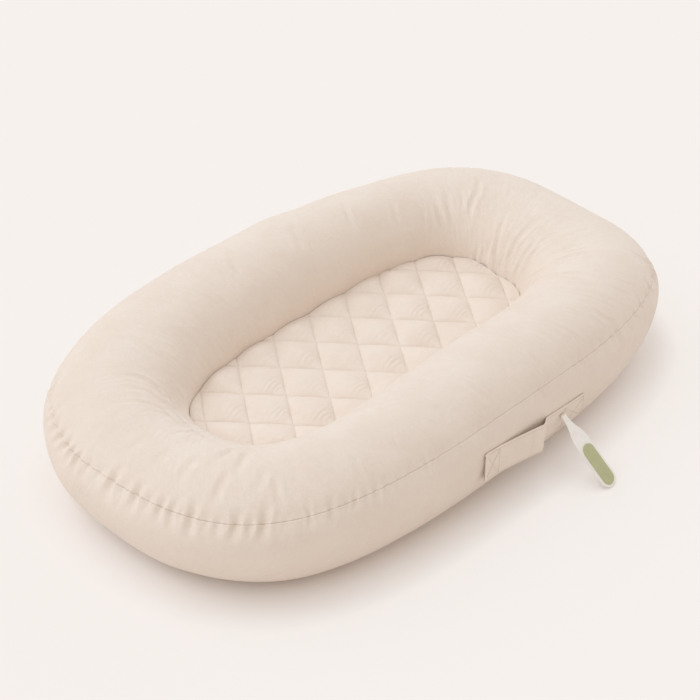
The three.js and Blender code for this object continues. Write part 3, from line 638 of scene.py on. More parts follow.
def between(value, low, high, edge):
    """1 between two limits, falling smoothly to 0 within an edge outside them."""
    return smooth((value - low + edge) / edge) * smooth((high + edge - value) / edge)


def held_flat(arc, angle):
    """1 under the handle and 0 away from it."""
    return between(arc, *HANDLE_ARC, HELD_EDGE) * between(angle, *HANDLE_ANGLES, HELD_EDGE_ANGLE)


print("the cloth is held flat from", HANDLE_ARC[0], "to", HANDLE_ARC[1], "m round the ring")

# %% Build both covers
LUMP_HEIGHT = 1.5 * MM
LUMP_EDGE, FLOOR_FADE = 0.02, 0.03
BACK_EVERY = 8


def cover_grid(angle_to, steps, side):
    """The outer face of a cover as a grid of points with its normals. Side is 1 above the seam, -1 below."""
    angle, over = rows_over(cuts, cuts["seam"], angle_to, SEAM_STEPS, steps)
    plain = skin(column(cuts), angle)
    normal = grid_normals(plain)
    centre = np.concatenate([(cuts["outer"] + cuts["inner"]) / 2, cuts["equator"][:, None]], 1)[:, None]
    normal *= np.sign(((plain - centre) * normal).sum())
    arc = np.broadcast_to(station_arc[:, None], angle.shape)
    step = np.linalg.norm(np.roll(plain, -1, 0) - np.roll(plain, 1, 0), axis=2) / 2
    stretch = step / (RING_ROUND / STATIONS)
    relief = LUMP_HEIGHT * lumps(arc, side * over) * smooth((over[:, -1:] - over) / LUMP_EDGE)
    kept = KEPT_ABOVE if side > 0 else 1
    for at, up, down, lean_up, lean_down, width, depth in GATHERS:
        seam = math.degrees(np.interp(at, station_arc, cuts["seam"]))
        end = (at + lean_up, seam + up) if side > 0 else (at + lean_down, seam - down)
        press_gather(relief, arc, angle, stretch, (at, seam), end, width, depth, kept)
    if side > 0:
        for path, width, depth in SOFT_FOLDS + FINE_FOLDS:
            press_fold(relief, arc, angle, stretch, path, FOLD_NARROWER * width * MM, depth * MM)
    else:
        relief *= smooth(plain[..., 2] / FLOOR_FADE)
    relief *= 1 - held_flat(arc, angle)
    points = plain + normal * (relief - rolled_edge(over, side))[..., None]
    points[..., 2] = np.maximum(points[..., 2], 0)
    return points, normal, over


def ring_cover(name, angle_to, steps, side):
    """A cover as a closed loop carried round the ring: its outer face, and a plainer inner face behind it."""
    front, normal, over = cover_grid(angle_to, steps, side)
    picked = np.unique(np.append(np.arange(0, front.shape[1], BACK_EVERY), front.shape[1] - 1))[::-1]
    back = front[:, picked] - normal[:, picked] * COVER_THICKNESS
    back[..., 2] = np.maximum(back[..., 2], COVER_THICKNESS * (front[:, picked, 2] < COVER_THICKNESS))
    loop = np.concatenate([front, back], 1)
    across = np.concatenate([over.mean(0), over.mean(0)[picked], [0]])
    piece = make_piece(name, tube_part(loop, np.append(station_arc, RING_ROUND), across))
    print(name, "has", len(piece.data.vertices), "points and is", round(over[:, -1].mean(), 3), "m across")
    return piece


BED_EDGE = 0.084
UPPER_STEPS, LOWER_STEPS = 86, 92
upper_cover = ring_cover("ring_upper_cover", well_angle(cuts, BED_EDGE), UPPER_STEPS, 1)
lower_cover = ring_cover("ring_lower_cover", well_angle(cuts, 0) - 2 * math.pi, LOWER_STEPS, -1)

# %% [markdown]
# ## Ring cushion
# Inside the covers is a plain lining bag full of fibre. Nobody sees it unless the zip is open, so one
# smooth closed tube is enough, a little smaller than the covers, with a low ridge where the bag is sewn.

# %% Ring cushion
CUSHION_INSET, CUSHION_EVERY, CUSHION_SIDES, CUSHION_GIRTH = 8 * MM, 4, 72, 0.46
CUSHION_SEAM, SEAM_RIDGE, RIDGE_SPREAD = math.radians(-90), 0.5 * MM, 0.05
cushion_cut = {name: value[::CUSHION_EVERY] for name, value in cuts.items()}
cushion_angle = np.broadcast_to(
    np.linspace(-math.pi, math.pi, CUSHION_SIDES + 1)[:-1], (STATIONS // CUSHION_EVERY, CUSHION_SIDES)
)
cushion_ridge = SEAM_RIDGE * np.exp(-(((cushion_angle - CUSHION_SEAM) / RIDGE_SPREAD) ** 2))
cushion_points = skin(column(cushion_cut), cushion_angle, CUSHION_INSET - cushion_ridge)
ring_cushion = make_piece("ring_cushion", tube_part(
    cushion_points, np.append(station_arc[::CUSHION_EVERY], RING_ROUND),
    np.linspace(0, CUSHION_GIRTH, CUSHION_SIDES + 1),
))
print("the ring cushion has", len(ring_cushion.data.vertices), "points")

# %% [markdown]
# ## Quilted bed
# The bed is two cloths with wadding between them, sewn through along slanting lines. Every diamond swells
# and every line is a narrow valley. Two waves, one across each set of lines, multiply to a height that is
# greatest in the middle of a diamond, and a power below 1 makes it fall steeply only beside the thread.
# Where the cloth was pulled askew under the needle it left small curved drag lines by one corner of each
# diamond.

# %% Lattice of the quilting
BED_HEIGHT, BED_DROP, BED_BOTTOM, BED_CROWN = 0.0905, 0.001, 0.0802, 6
PUFF_HEIGHT, LINE_DEPTH, PUFF_POWER = 0.0082, 0.7 * MM, 0.74
QUILT_START = np.array([-0.030, 0.0074])
QUILT_TURN, QUILT_TURN_ACROSS = math.radians(7), math.radians(3.5)
QUILT_ALONG = 0.0322 * np.array([math.cos(QUILT_TURN), math.sin(QUILT_TURN)])
QUILT_ACROSS = 0.041 * np.array([math.sin(QUILT_TURN_ACROSS), -math.cos(QUILT_TURN_ACROSS)])
lattice = np.linalg.inv(np.stack([QUILT_ALONG, QUILT_ACROSS], 1))


def quilt_place(x, y):
    """The place in the lattice: the lines of stitches run where either number is half way between wholes."""
    a, b = np.moveaxis((np.stack([x, y], -1) - QUILT_START) @ lattice.T, -1, 0)
    return (a + b) / 2, (b - a) / 2


def from_quilt(p, q):
    """The place on the bed of a place in the lattice."""
    return QUILT_START + (p - q)[..., None] * QUILT_ALONG + (p + q)[..., None] * QUILT_ACROSS


def rim_share(x, y):
    """0 in the middle of the bed and 1 at its rim."""
    along = (x - WELL_SHIFT) / WELL_HALF_LENGTH
    aside = y / (1 + WELL_TAPER * along) / WELL_HALF_WIDTH
    share = (np.abs(along) ** WELL_POWER + np.abs(aside) ** WELL_POWER) ** (1 / WELL_POWER)
    return np.clip(share / (1 + well_ease(along, aside)), 1e-6, 1)


diamond = [round(2 * float(np.linalg.norm(way)) / MM) for way in (QUILT_ALONG, QUILT_ACROSS)]
print("a diamond is", diamond[0], "mm along the bed and", diamond[1], "mm across it")

# %% Height of the quilt
cell_random = np.random.default_rng(3)
CELLS = 41
CELL_FACTS = cell_random.random((CELLS, CELLS, 4))
LINE_WIDTH, TUCK_REACH, ROUND_REACH = 0.065, 0.016, 0.001
DRAG_BEYOND, DRAG_HEIGHT = np.array([0.009, -0.026]), 0.62 * MM
DRAG_AWAY, DRAG_SPREAD, DRAG_WAVES, DRAG_WAVES_MORE = 0.019, 0.015, 860, 330
PUCKER_HEIGHT, PUCKER_SPREAD = 0.32 * MM, 0.22


def soft_line(wave):
    """The size of a wave, rounded a little where it is 0."""
    return np.sqrt(wave**2 + 0.0012) - 0.0346


def quilt_height(x, y):
    """The height of the quilt's face: crown, puffs, valleys of stitches, drag lines and puckers."""
    p, q = quilt_place(x, y)
    rim = rim_share(x, y)
    from_rim = (1 - rim) * np.hypot(x - WELL_SHIFT, y) / rim
    crown = 1 - rim**BED_CROWN
    puff = (soft_line(np.cos(math.pi * p)) * soft_line(np.cos(math.pi * q))) ** PUFF_POWER
    whole_p, whole_q = np.round(p), np.round(q)
    cell_p, cell_q = ((whole.astype(int) + CELLS // 2) % CELLS for whole in (whole_p, whole_q))
    facts = CELL_FACTS[cell_p, cell_q]
    fill = 0.86 + 0.2 * facts[..., 0]
    round_rim = np.sqrt(np.clip(from_rim / ROUND_REACH, 0, 1))
    height = BED_HEIGHT - BED_DROP * (1 - crown)
    tucked = (0.55 + 0.45 * smooth(from_rim / TUCK_REACH)) * (0.85 + 0.15 * round_rim)
    height = height + PUFF_HEIGHT * puff * fill * (0.86 + 0.14 * crown) * tucked
    for wave in (np.cos(math.pi * p), np.cos(math.pi * q)):
        height = height - LINE_DEPTH * np.exp(-((wave / LINE_WIDTH) ** 2))
    # drag lines, round a point beyond the corner of the diamond that points to the handle's side
    to_p, to_q = 0.5 - (p - whole_p), 0.5 - (q - whole_q)
    corner = (to_p - to_q)[..., None] * QUILT_ALONG + (to_p + to_q)[..., None] * QUILT_ACROSS
    away = np.linalg.norm(corner, axis=-1)
    far_corner = corner + DRAG_BEYOND
    far_away = np.linalg.norm(far_corner, axis=-1)
    bearing = np.arctan2(far_corner[..., 1], far_corner[..., 0])
    bend = 0.7 * np.sin(5 * bearing + 6 * facts[..., 0]) + 0.6 * np.sin(x * 170 + 4 * np.sin(y * 90))
    lines = np.sin(far_away * (DRAG_WAVES + DRAG_WAVES_MORE * facts[..., 1]) + 6 * facts[..., 2] + bend)
    drag = np.exp(-(((away - DRAG_AWAY) / DRAG_SPREAD) ** 2)) * (0.4 + 0.6 * facts[..., 3])
    # small puckers square to the thread
    beside_p = np.exp(-np.abs(np.cos(math.pi * p)) / PUCKER_SPREAD)
    beside_q = np.exp(-np.abs(np.cos(math.pi * q)) / PUCKER_SPREAD)
    pucker = beside_p * np.sin(2 * math.pi * 9.3 * q + 3 * np.sin(7 * p))
    pucker = pucker + beside_q * np.sin(2 * math.pi * 8.7 * p + 3 * np.sin(5 * q))
    return height + puff * (DRAG_HEIGHT * lines * drag + PUCKER_HEIGHT * pucker) * round_rim


first_height = float(quilt_height(*QUILT_START[:, None])[0])
print("one diamond is", round(first_height / MM, 1), "mm above the floor in its middle")

# %% Bed quilt
def bed_columns(count, inset):
    """Places along the bed, closer together at its ends, and half the bed's width at each of them."""
    even = np.linspace(-1, 1, count)
    along = (0.62 * even + 0.38 * np.sin(even * math.pi / 2)) * (WELL_HALF_LENGTH - inset - 0.15 * MM)
    share = np.abs(along) / (WELL_HALF_LENGTH - inset)
    return along + WELL_SHIFT, (WELL_HALF_WIDTH - inset) * (1 - share**WELL_POWER) ** (1 / WELL_POWER)


def bed_grid(columns, rows, inset, height):
    """A grid of points over the bed, with its rim this far in from the wall and its height by a rule."""
    x, half = bed_columns(columns, inset)
    x = np.broadcast_to(x[:, None], (columns, rows))
    y = half[:, None] * np.linspace(-1, 1, rows)
    along, aside = (x - WELL_SHIFT) / WELL_HALF_LENGTH, y / WELL_HALF_WIDTH
    share = (np.abs(along) ** WELL_POWER + np.abs(aside) ** WELL_POWER) ** (1 / WELL_POWER)
    ease = 1 + well_ease(along, aside) * share**4
    x, y = WELL_SHIFT + (x - WELL_SHIFT) * ease, y * ease * (1 + WELL_TAPER * along * ease)
    return np.stack([x, y, height(x, y)], -1)


well_bearing = np.arctan2(cuts["inner"][:, 1], cuts["inner"][:, 0] - WELL_SHIFT)
RIM_PRESS, RIM_CLEAR = 2.5 * MM, 0.05 * MM


def press_to_wall(points):
    """Moves the quilt's rim out to the wall, which leans away from it above the wall's widest level."""
    x, y, z = np.moveaxis(points, -1, 0)
    bearing = np.arctan2(y, x - WELL_SHIFT)
    reach, height, equator = (
        np.interp(bearing, well_bearing, cuts[name], period=2 * math.pi)
        for name in ("reach", "height", "equator")
    )
    lean = np.clip((z - equator) / (height - equator), 0, 1)
    rim = rim_share(x, y)
    away = np.hypot(x - WELL_SHIFT, y)
    out = reach * (1 - np.sqrt(1 - lean**2)) * np.exp(-(1 - rim) * away / rim / RIM_PRESS)
    out = np.maximum(out - RIM_CLEAR, 0) / np.maximum(away, MM)
    return np.stack([x + (x - WELL_SHIFT) * out, y + y * out, z], -1)


QUILT_COLUMNS, QUILT_ROWS, QUILT_INSET = 640, 276, 0.3 * MM
quilt_top = press_to_wall(bed_grid(QUILT_COLUMNS, QUILT_ROWS, QUILT_INSET, quilt_height))
quilt_bottom = bed_grid(QUILT_COLUMNS, QUILT_ROWS, QUILT_INSET, lambda x, y: np.full(x.shape, BED_BOTTOM))
bed_quilt = make_piece("bed_quilt", sheet_part(
    quilt_top, quilt_bottom, quilt_top[:, 0, 0], np.linspace(-WELL_HALF_WIDTH, WELL_HALF_WIDTH, QUILT_ROWS)
))
print("bed quilt:", len(bed_quilt.data.vertices), "points, from", round(BED_BOTTOM, 4), "to",
      round(float(quilt_top[..., 2].max()), 4), "m high")

# %% [markdown]
# ## Stitches
# A stitch is a short arch of thread that rises from one needle hole and goes down into the next. One
# function turns any list of start and end points, with the cloth's normals there, into such arches. The
# quilt and the handle both use it. Bump alone would look painted on where the light falls along a seam.

# %% Stitches from needle hole to needle hole
THREAD_SIDES = 6
THREAD_RINGS = 5


def stitches(starts, ends, normals, radius, rise):
    """A closed arch of thread for each stitch."""
    share = np.linspace(0, 1, THREAD_RINGS)
    arch = np.sin(math.pi * share) * rise - 0.6 * radius * (np.abs(share - 0.5) > 0.45)
    middle = starts[:, None] + (ends - starts)[:, None] * share[:, None] + normals[:, None] * arch[:, None]
    direction = ends - starts
    direction /= np.linalg.norm(direction, axis=1, keepdims=True)
    side = np.cross(direction, normals)
    around = np.arange(THREAD_SIDES) * 2 * math.pi / THREAD_SIDES
    thick = radius * (0.55 + 0.45 * np.sin(math.pi * share))[:, None, None]
    ring = np.cos(around)[:, None] * side[:, None, None] + np.sin(around)[:, None] * normals[:, None, None]
    points = middle[:, :, None] + thick * ring
    count, per = len(starts), THREAD_RINGS * THREAD_SIDES
    faces = quads(THREAD_RINGS, THREAD_SIDES, False, True)[0]
    if volume(points[0].reshape(-1, 3), faces) < 0:
        faces = faces[:, ::-1]
        ends_at = [np.arange(THREAD_SIDES), per - THREAD_SIDES + np.arange(THREAD_SIDES)[::-1]]
    else:
        ends_at = [np.arange(THREAD_SIDES)[::-1], per - THREAD_SIDES + np.arange(THREAD_SIDES)]
    one = np.concatenate([faces.ravel(), *ends_at])
    loops = (one + per * np.arange(count)[:, None]).ravel()
    counts = np.tile([4] * len(faces) + [THREAD_SIDES] * 2, count)
    cloth = np.tile(np.stack([one // THREAD_SIDES * 0.0007, one % THREAD_SIDES * 0.0003], -1), (count, 1))
    return points.reshape(-1, 3), loops, counts, cloth


def along_path(path, stitch, gap):
    """Cuts a path of points into stitches of even length, with gaps between them."""
    length = np.concatenate([[0], np.cumsum(np.linalg.norm(np.diff(path, axis=0), axis=1))])
    count = max(int((length[-1] + gap) / (stitch + gap)), 1)
    begin = np.arange(count) * (length[-1] + gap) / count
    finish = begin + (length[-1] + gap) / count - gap
    return tuple(
        np.stack([np.interp(at, length, path[:, k]) for k in range(3)], -1) for at in (begin, finish)
    )


print("a stitch is an arch of", THREAD_RINGS, "rings of", THREAD_SIDES, "points")

# %% Stitches of the quilt
QUILT_STITCH, QUILT_GAP, QUILT_THREAD, QUILT_ARCH = 3.0 * MM, 0.7 * MM, 0.24 * MM, 0.25 * MM
STITCHED_TO, FEWEST_PLACES = 0.972, 40


def quilt_lines():
    """The stitched lines as runs of points inside the rim."""
    runs = []
    fine = np.linspace(-9, 9, 3601)
    for half in np.arange(-8.5, 9):
        for p, q in ((np.full(fine.shape, half), fine), (fine, np.full(fine.shape, half))):
            place = from_quilt(p, q)
            inside = rim_share(place[:, 0], place[:, 1]) < STITCHED_TO
            if inside.sum() > FEWEST_PLACES:
                place = place[inside]
                runs.append(np.concatenate([place, quilt_height(*place.T)[:, None]], 1))
    return runs


quilt_runs = [along_path(run, QUILT_STITCH, QUILT_GAP) for run in quilt_lines()]
quilt_starts, quilt_ends = (np.concatenate([run[k] for run in quilt_runs]) for k in (0, 1))
quilt_ups = np.broadcast_to([0.0, 0.0, 1.0], quilt_starts.shape)
bed_stitching = make_piece("bed_stitching", stitches(
    quilt_starts, quilt_ends, quilt_ups, QUILT_THREAD, QUILT_ARCH
))
print(len(quilt_starts), "stitches in", len(quilt_runs), "lines of quilting")

# %% Bed cushion
CORE_BOTTOM, CORE_TOP, CORE_ROUND, CORE_EASE = 0.015, 0.0797, 0.012, 0.003


def core_edge(x, y):
    """How far the cushion's face has dropped as it rounds over at the rim."""
    rim = rim_share(x, y)
    from_rim = (1 - rim) * np.hypot(x - WELL_SHIFT, y) / rim
    inside = np.clip(1 - (from_rim - CORE_EASE) / CORE_ROUND, 0, 1)
    return CORE_ROUND * (1 - np.sqrt(1 - np.minimum(inside, 0.999) ** 2))


CORE_COLUMNS, CORE_ROWS = 120, 60
core_top = bed_grid(CORE_COLUMNS, CORE_ROWS, CORE_EASE, lambda x, y: CORE_TOP - core_edge(x, y))
core_bottom = bed_grid(CORE_COLUMNS, CORE_ROWS, CORE_EASE, lambda x, y: CORE_BOTTOM + core_edge(x, y))
bed_cushion = make_piece("bed_cushion", sheet_part(
    core_top, core_bottom, core_top[:, 0, 0], np.linspace(-WELL_HALF_WIDTH, WELL_HALF_WIDTH, CORE_ROWS)
))
print("the bed cushion has", len(bed_cushion.data.vertices), "points")

# %% [markdown]
# ## Base cloth and zip
# The cover opens along a zip in the base. The base is plain lining cloth in two panels, raised a little
# along the zip so that the metal slider stays off the floor. The zip's tapes are flat woven strips, and
# each row of teeth on this kind of zip is one nylon thread wound into a long flat coil.

# %% Base panels
BASE_THICKNESS, BASE_EASE = 1.6 * MM, 0.3 * MM
ZIP_Y, ZIP_HALF, ZIP_RISE, ZIP_SLOT = 0.085, 0.170, 8 * MM, 5 * MM
MOUND_HALF_LENGTH, MOUND_HALF_WIDTH, MOUND_RAMP = 0.182, 0.016, 0.010
RIPPLE_HEIGHT, RIPPLE_REACH, RIPPLE_CLEAR = 0.25 * MM, 0.03, 0.02

base_edge = skin(cuts, well_angle(cuts, 0))[:, :2]
base_edge = base_edge * (1 - 2 * BASE_EASE / np.linalg.norm(base_edge, axis=1, keepdims=True))


def base_half_width(x, far_side):
    """Where the base's rim lies at a place along it, on the far side or on the handle's side."""
    rim = base_edge[base_edge[:, 1] > 0] if far_side else base_edge[base_edge[:, 1] < 0]
    rim = rim[np.argsort(rim[:, 0])]
    return np.interp(x, rim[:, 0], rim[:, 1])


def base_level(x, y):
    """The underside of the base: flat on the floor, and raised over the zip."""
    from_end = (MOUND_HALF_LENGTH + MOUND_RAMP - np.abs(x)) / MOUND_RAMP
    from_side = (MOUND_HALF_WIDTH + MOUND_RAMP - np.abs(y - ZIP_Y)) / MOUND_RAMP
    rise = ZIP_RISE * smooth(np.minimum(from_end, from_side))
    from_zip = np.abs(y - ZIP_Y)
    ripple = np.exp(-from_zip / RIPPLE_REACH) * (1 + np.sin(x * 260 + 3 * np.sin(x * 41))) * RIPPLE_HEIGHT
    return rise + ripple * smooth(from_zip / RIPPLE_CLEAR)


def base_piece(name, x_from, x_to, columns, rows, low, high):
    """A panel of the base between two places along it and two edges, each a rule of the place along it."""
    x = np.linspace(x_from, x_to, columns)
    share = np.linspace(0, 1, rows)
    y = low(x)[:, None] + (high(x) - low(x))[:, None] * share
    x = np.broadcast_to(x[:, None], y.shape)
    level = base_level(x, y)
    under = np.stack([x, y, level], -1)
    over = np.stack([x, y, level + BASE_THICKNESS], -1)
    return make_piece(name, sheet_part(over, under, x[:, 0], y[columns // 2]))


BASE_END_GAP, PANEL_GAP, SLOT_BEYOND, SLOT_RAMP = 0.2 * MM, 0.15 * MM, 8 * MM, 4 * MM


def slot_edge(x, side):
    """The edge of a panel along the zip: set back from the coils where the zip is."""
    inside = smooth((ZIP_HALF + SLOT_BEYOND - np.abs(x)) / SLOT_RAMP)
    return ZIP_Y + side * (PANEL_GAP + (ZIP_SLOT - PANEL_GAP) * inside)


BASE_X = float(base_edge[:, 0].min()) + BASE_END_GAP, float(base_edge[:, 0].max()) - BASE_END_GAP
flap_x = [x for x in np.linspace(*BASE_X, 2000) if base_half_width(x, True) > ZIP_Y + 2 * MM]
base_wide = base_piece(
    "base_wide_panel", *BASE_X, 420, 110, lambda x: base_half_width(x, False),
    lambda x: np.minimum(base_half_width(x, True), slot_edge(x, -1)),
)
base_narrow = base_piece(
    "base_narrow_panel", flap_x[0], flap_x[-1], 400, 40, lambda x: slot_edge(x, 1),
    lambda x: base_half_width(x, True),
)
for panel in (base_wide, base_narrow):
    print(panel.name, "has", len(panel.data.vertices), "points")

# %% Zip tapes
TAPE_BOTTOM, TAPE_WIDTH, TAPE_BEYOND, COIL_GAP = 9.9 * MM, 13 * MM, 8 * MM, 1.2 * MM
TAPE_COLUMNS, TAPE_ROWS = 300, 14
TAPE_TOP_LIFT, TAPE_UNDER_LIFT, TAPE_BOW, TAPE_RIB = 0.6 * MM, 0.12 * MM, 0.12 * MM, 0.1 * MM


def zip_tape(name, side):
    """A woven tape with four ribs along it, bowed a little as cloth is beside stiff coils."""
    x = np.linspace(-ZIP_HALF - TAPE_BEYOND, ZIP_HALF + TAPE_BEYOND, TAPE_COLUMNS)[:, None]
    y = ZIP_Y + side * (COIL_GAP / 2 + TAPE_WIDTH * np.linspace(0, 1, TAPE_ROWS))[None]
    bow = TAPE_BOW * np.sin(x * 150) * (np.abs(y - ZIP_Y) / TAPE_WIDTH) + 0 * y
    x, y = np.broadcast_arrays(x, y)
    rib = TAPE_RIB * np.cos(np.linspace(0, 8 * math.pi, TAPE_ROWS))
    top = np.stack([x, y, TAPE_BOTTOM + TAPE_TOP_LIFT + rib + bow], -1)
    under = np.stack([x, y, TAPE_BOTTOM + TAPE_UNDER_LIFT + bow], -1)
    return make_piece(name, sheet_part(top, under, x[:, 0], y[0]))


zip_tape_near, zip_tape_far = zip_tape("zip_tape_near_side", -1), zip_tape("zip_tape_far_side", 1)
print("each zip tape is", round(TAPE_WIDTH / MM), "mm wide and has four ribs")

# %% Zip coils
COIL_BOTTOM, COIL_HEIGHT, COIL_WIDTH = 7.4 * MM, 2.2 * MM, 2.8 * MM
COIL_WIRE, COIL_PITCH = 0.34 * MM, 1.7 * MM
COIL_STEPS, WIRE_SIDES = 12, 6


def zip_coil(name, side):
    """A nylon thread wound along the zip in a flat coil."""
    turns = int(2 * ZIP_HALF / COIL_PITCH) - 1
    angle = np.linspace(0, 2 * math.pi * turns, turns * COIL_STEPS + 1)
    x = -ZIP_HALF + COIL_WIRE + (2 * ZIP_HALF - 2 * COIL_WIRE) * angle / angle[-1]
    middle = ZIP_Y + side * (COIL_GAP + COIL_WIDTH) / 2
    wide, high = COIL_WIDTH / 2 - COIL_WIRE, COIL_HEIGHT / 2 - COIL_WIRE
    line = np.stack([
        x,
        middle - side * wide * np.cos(angle),
        COIL_BOTTOM + COIL_HEIGHT / 2 + high * np.sin(angle),
    ], -1)
    ahead = np.gradient(line, axis=0)
    ahead /= np.linalg.norm(ahead, axis=1, keepdims=True)
    out = np.stack([0 * x, -side * np.cos(angle), np.sin(angle)], -1)
    out -= (out * ahead).sum(1, keepdims=True) * ahead
    out /= np.linalg.norm(out, axis=1, keepdims=True)
    beside = np.cross(ahead, out)
    round_wire = np.arange(WIRE_SIDES) * 2 * math.pi / WIRE_SIDES
    ring = np.cos(round_wire)[:, None] * out[:, None] + np.sin(round_wire)[:, None] * beside[:, None]
    return make_piece(name, tube_part(
        line[:, None] + COIL_WIRE * ring, np.linspace(0, 1, len(line)), np.linspace(0, 1, WIRE_SIDES + 1),
        around=False,
    ))


zip_coil_near, zip_coil_far = zip_coil("zip_coil_near_side", -1), zip_coil("zip_coil_far_side", 1)
print("each zip coil has", len(zip_coil_near.data.vertices), "points")

# %% [markdown]
# ## Carry handle
# The handle is one long strap of doubled cloth. It lies on the wall at both ends, where a box with a cross
# is stitched through it, and stands off the wall between them, because the strap is longer than the wall
# behind it. The wall is found by a search on the ring's formula, so that the strap follows it closely. Each
# half of the strap is a piece of its own, and the two meet in the middle of the free span.

# %% The wall under the handle
HANDLE_FOOT, HANDLE_HEAD, STRAP_WIDTH, STRAP_THICKNESS = -0.041, 0.139, 0.040, 2.4 * MM
HANDLE_FOOT_TOP, HANDLE_HEAD_TOP = 0.100, 0.083
SPAN_FROM, SPAN_TO = -0.0145, 0.0895
STRAP_GAP, STAND_OFF = 0.3 * MM, 7 * MM
SPAN_CREST, SPAN_FALL, SPAN_PLUMB, HEAD_SLANT = 0.66, 0.15, 0.85, 8 * MM


WALL_SEARCH = 40


def near_wall(x, z):
    """The ring's skin on the handle's side at this place along it and this height."""
    x, z = np.broadcast_arrays(x, z)
    low, high = np.full(x.shape, math.pi), np.full(x.shape, 2 * math.pi)
    for _ in range(WALL_SEARCH):
        turn = (low + high) / 2
        cut = sections(turn)
        rise = np.where(z < cut["equator"], cut["equator"] + FLOOR_PRESS, cut["height"] - cut["equator"])
        point = skin(cut, np.arcsin(np.clip((z - cut["equator"]) / rise, -1, 1)))
        behind = point[..., 0] < x
        low, high = np.where(behind, turn, low), np.where(behind, high, turn)
    return point


def wall_normal(x, z):
    """The direction straight off the wall there."""
    sideways = near_wall(x + STRAP_GAP, z) - near_wall(x - STRAP_GAP, z)
    upwards = near_wall(x, z + STRAP_GAP) - near_wall(x, z - STRAP_GAP)
    normal = np.cross(sideways, upwards)
    return normal / np.linalg.norm(normal, axis=-1, keepdims=True)


def handle_top(x):
    """The height of the strap's upper edge, which falls towards the head end."""
    fall = (HANDLE_HEAD_TOP - HANDLE_FOOT_TOP) / (HANDLE_HEAD - HANDLE_FOOT)
    return HANDLE_FOOT_TOP + fall * (x - HANDLE_FOOT)


def strap_frame(x, down):
    """Points on the back of the strap and the strap's normals, down metres below its upper edge."""
    x = x + HEAD_SLANT * smooth((x - SPAN_TO) / (HANDLE_HEAD - SPAN_TO)) * down / STRAP_WIDTH
    top = handle_top(x)
    share = (x - SPAN_FROM) / (SPAN_TO - SPAN_FROM)
    dropped = smooth((share - SPAN_CREST) / SPAN_FALL)
    bulge = np.clip(share / SPAN_CREST, 0, 1) ** 1.25 * (1 - dropped)
    normal = wall_normal(x, top - down)
    on_wall = near_wall(x, top - down) + normal * STRAP_GAP
    top_normal = wall_normal(x, top + 0 * down)
    plumb = near_wall(x, top + 0 * down) + top_normal * STRAP_GAP
    plumb[..., 2] -= down
    outwards = top_normal * [1, 1, 0]
    outwards /= np.linalg.norm(outwards, axis=-1, keepdims=True)
    lean = ((1 - dropped) * SPAN_PLUMB)[..., None]
    return on_wall * (1 - lean) + plumb * lean + outwards * (bulge * STAND_OFF)[..., None], normal


middle_x, middle_down = np.array([(SPAN_FROM + SPAN_TO) / 2]), np.array([STRAP_WIDTH / 2])
stand_off = strap_frame(middle_x, middle_down)[0] - near_wall(middle_x, handle_top(middle_x) - middle_down)
print("the handle stands", round(float(np.linalg.norm(stand_off)) / MM, 1), "mm off the wall at its middle")

# %% Strap halves
STRAP_EDGE, STRAP_CORNER, STRAP_STEP = 0.9 * MM, 2.2 * MM, 1.3 * MM
STITCH_IN, STITCH_SINK, STITCH_SPREAD = 2.6 * MM, 0.3 * MM, 0.8e-3
STRAP_FACE, EDGE_TURN = 32, 7
CRUMPLE, CURL, CURL_REACH, FLAT_REACH = 0.22 * MM, 1.3 * MM, 0.006, 0.003
END_STEPS = np.array([0, 0.1, 0.3, 0.6, 1.0, 1.6]) * MM
HANDLE_MIDDLE = (SPAN_FROM + SPAN_TO) / 2


def strap_lift(x, down):
    """How much the cloth rises or sinks: sunk along the rows of stitches, a little crumpled between them."""
    rows = sum(
        np.exp(-(((from_edge - STITCH_IN) / STITCH_SPREAD) ** 2)) for from_edge in (down, STRAP_WIDTH - down)
    )
    crumple = np.sin(x * 310 + 9 * down / STRAP_WIDTH) * np.sin(x * 97 + 1.3)
    crumple = crumple + 0.6 * np.sin(x * 720 + down * 300)
    return CRUMPLE * crumple * np.sin(math.pi * down / STRAP_WIDTH) - STITCH_SINK * rows


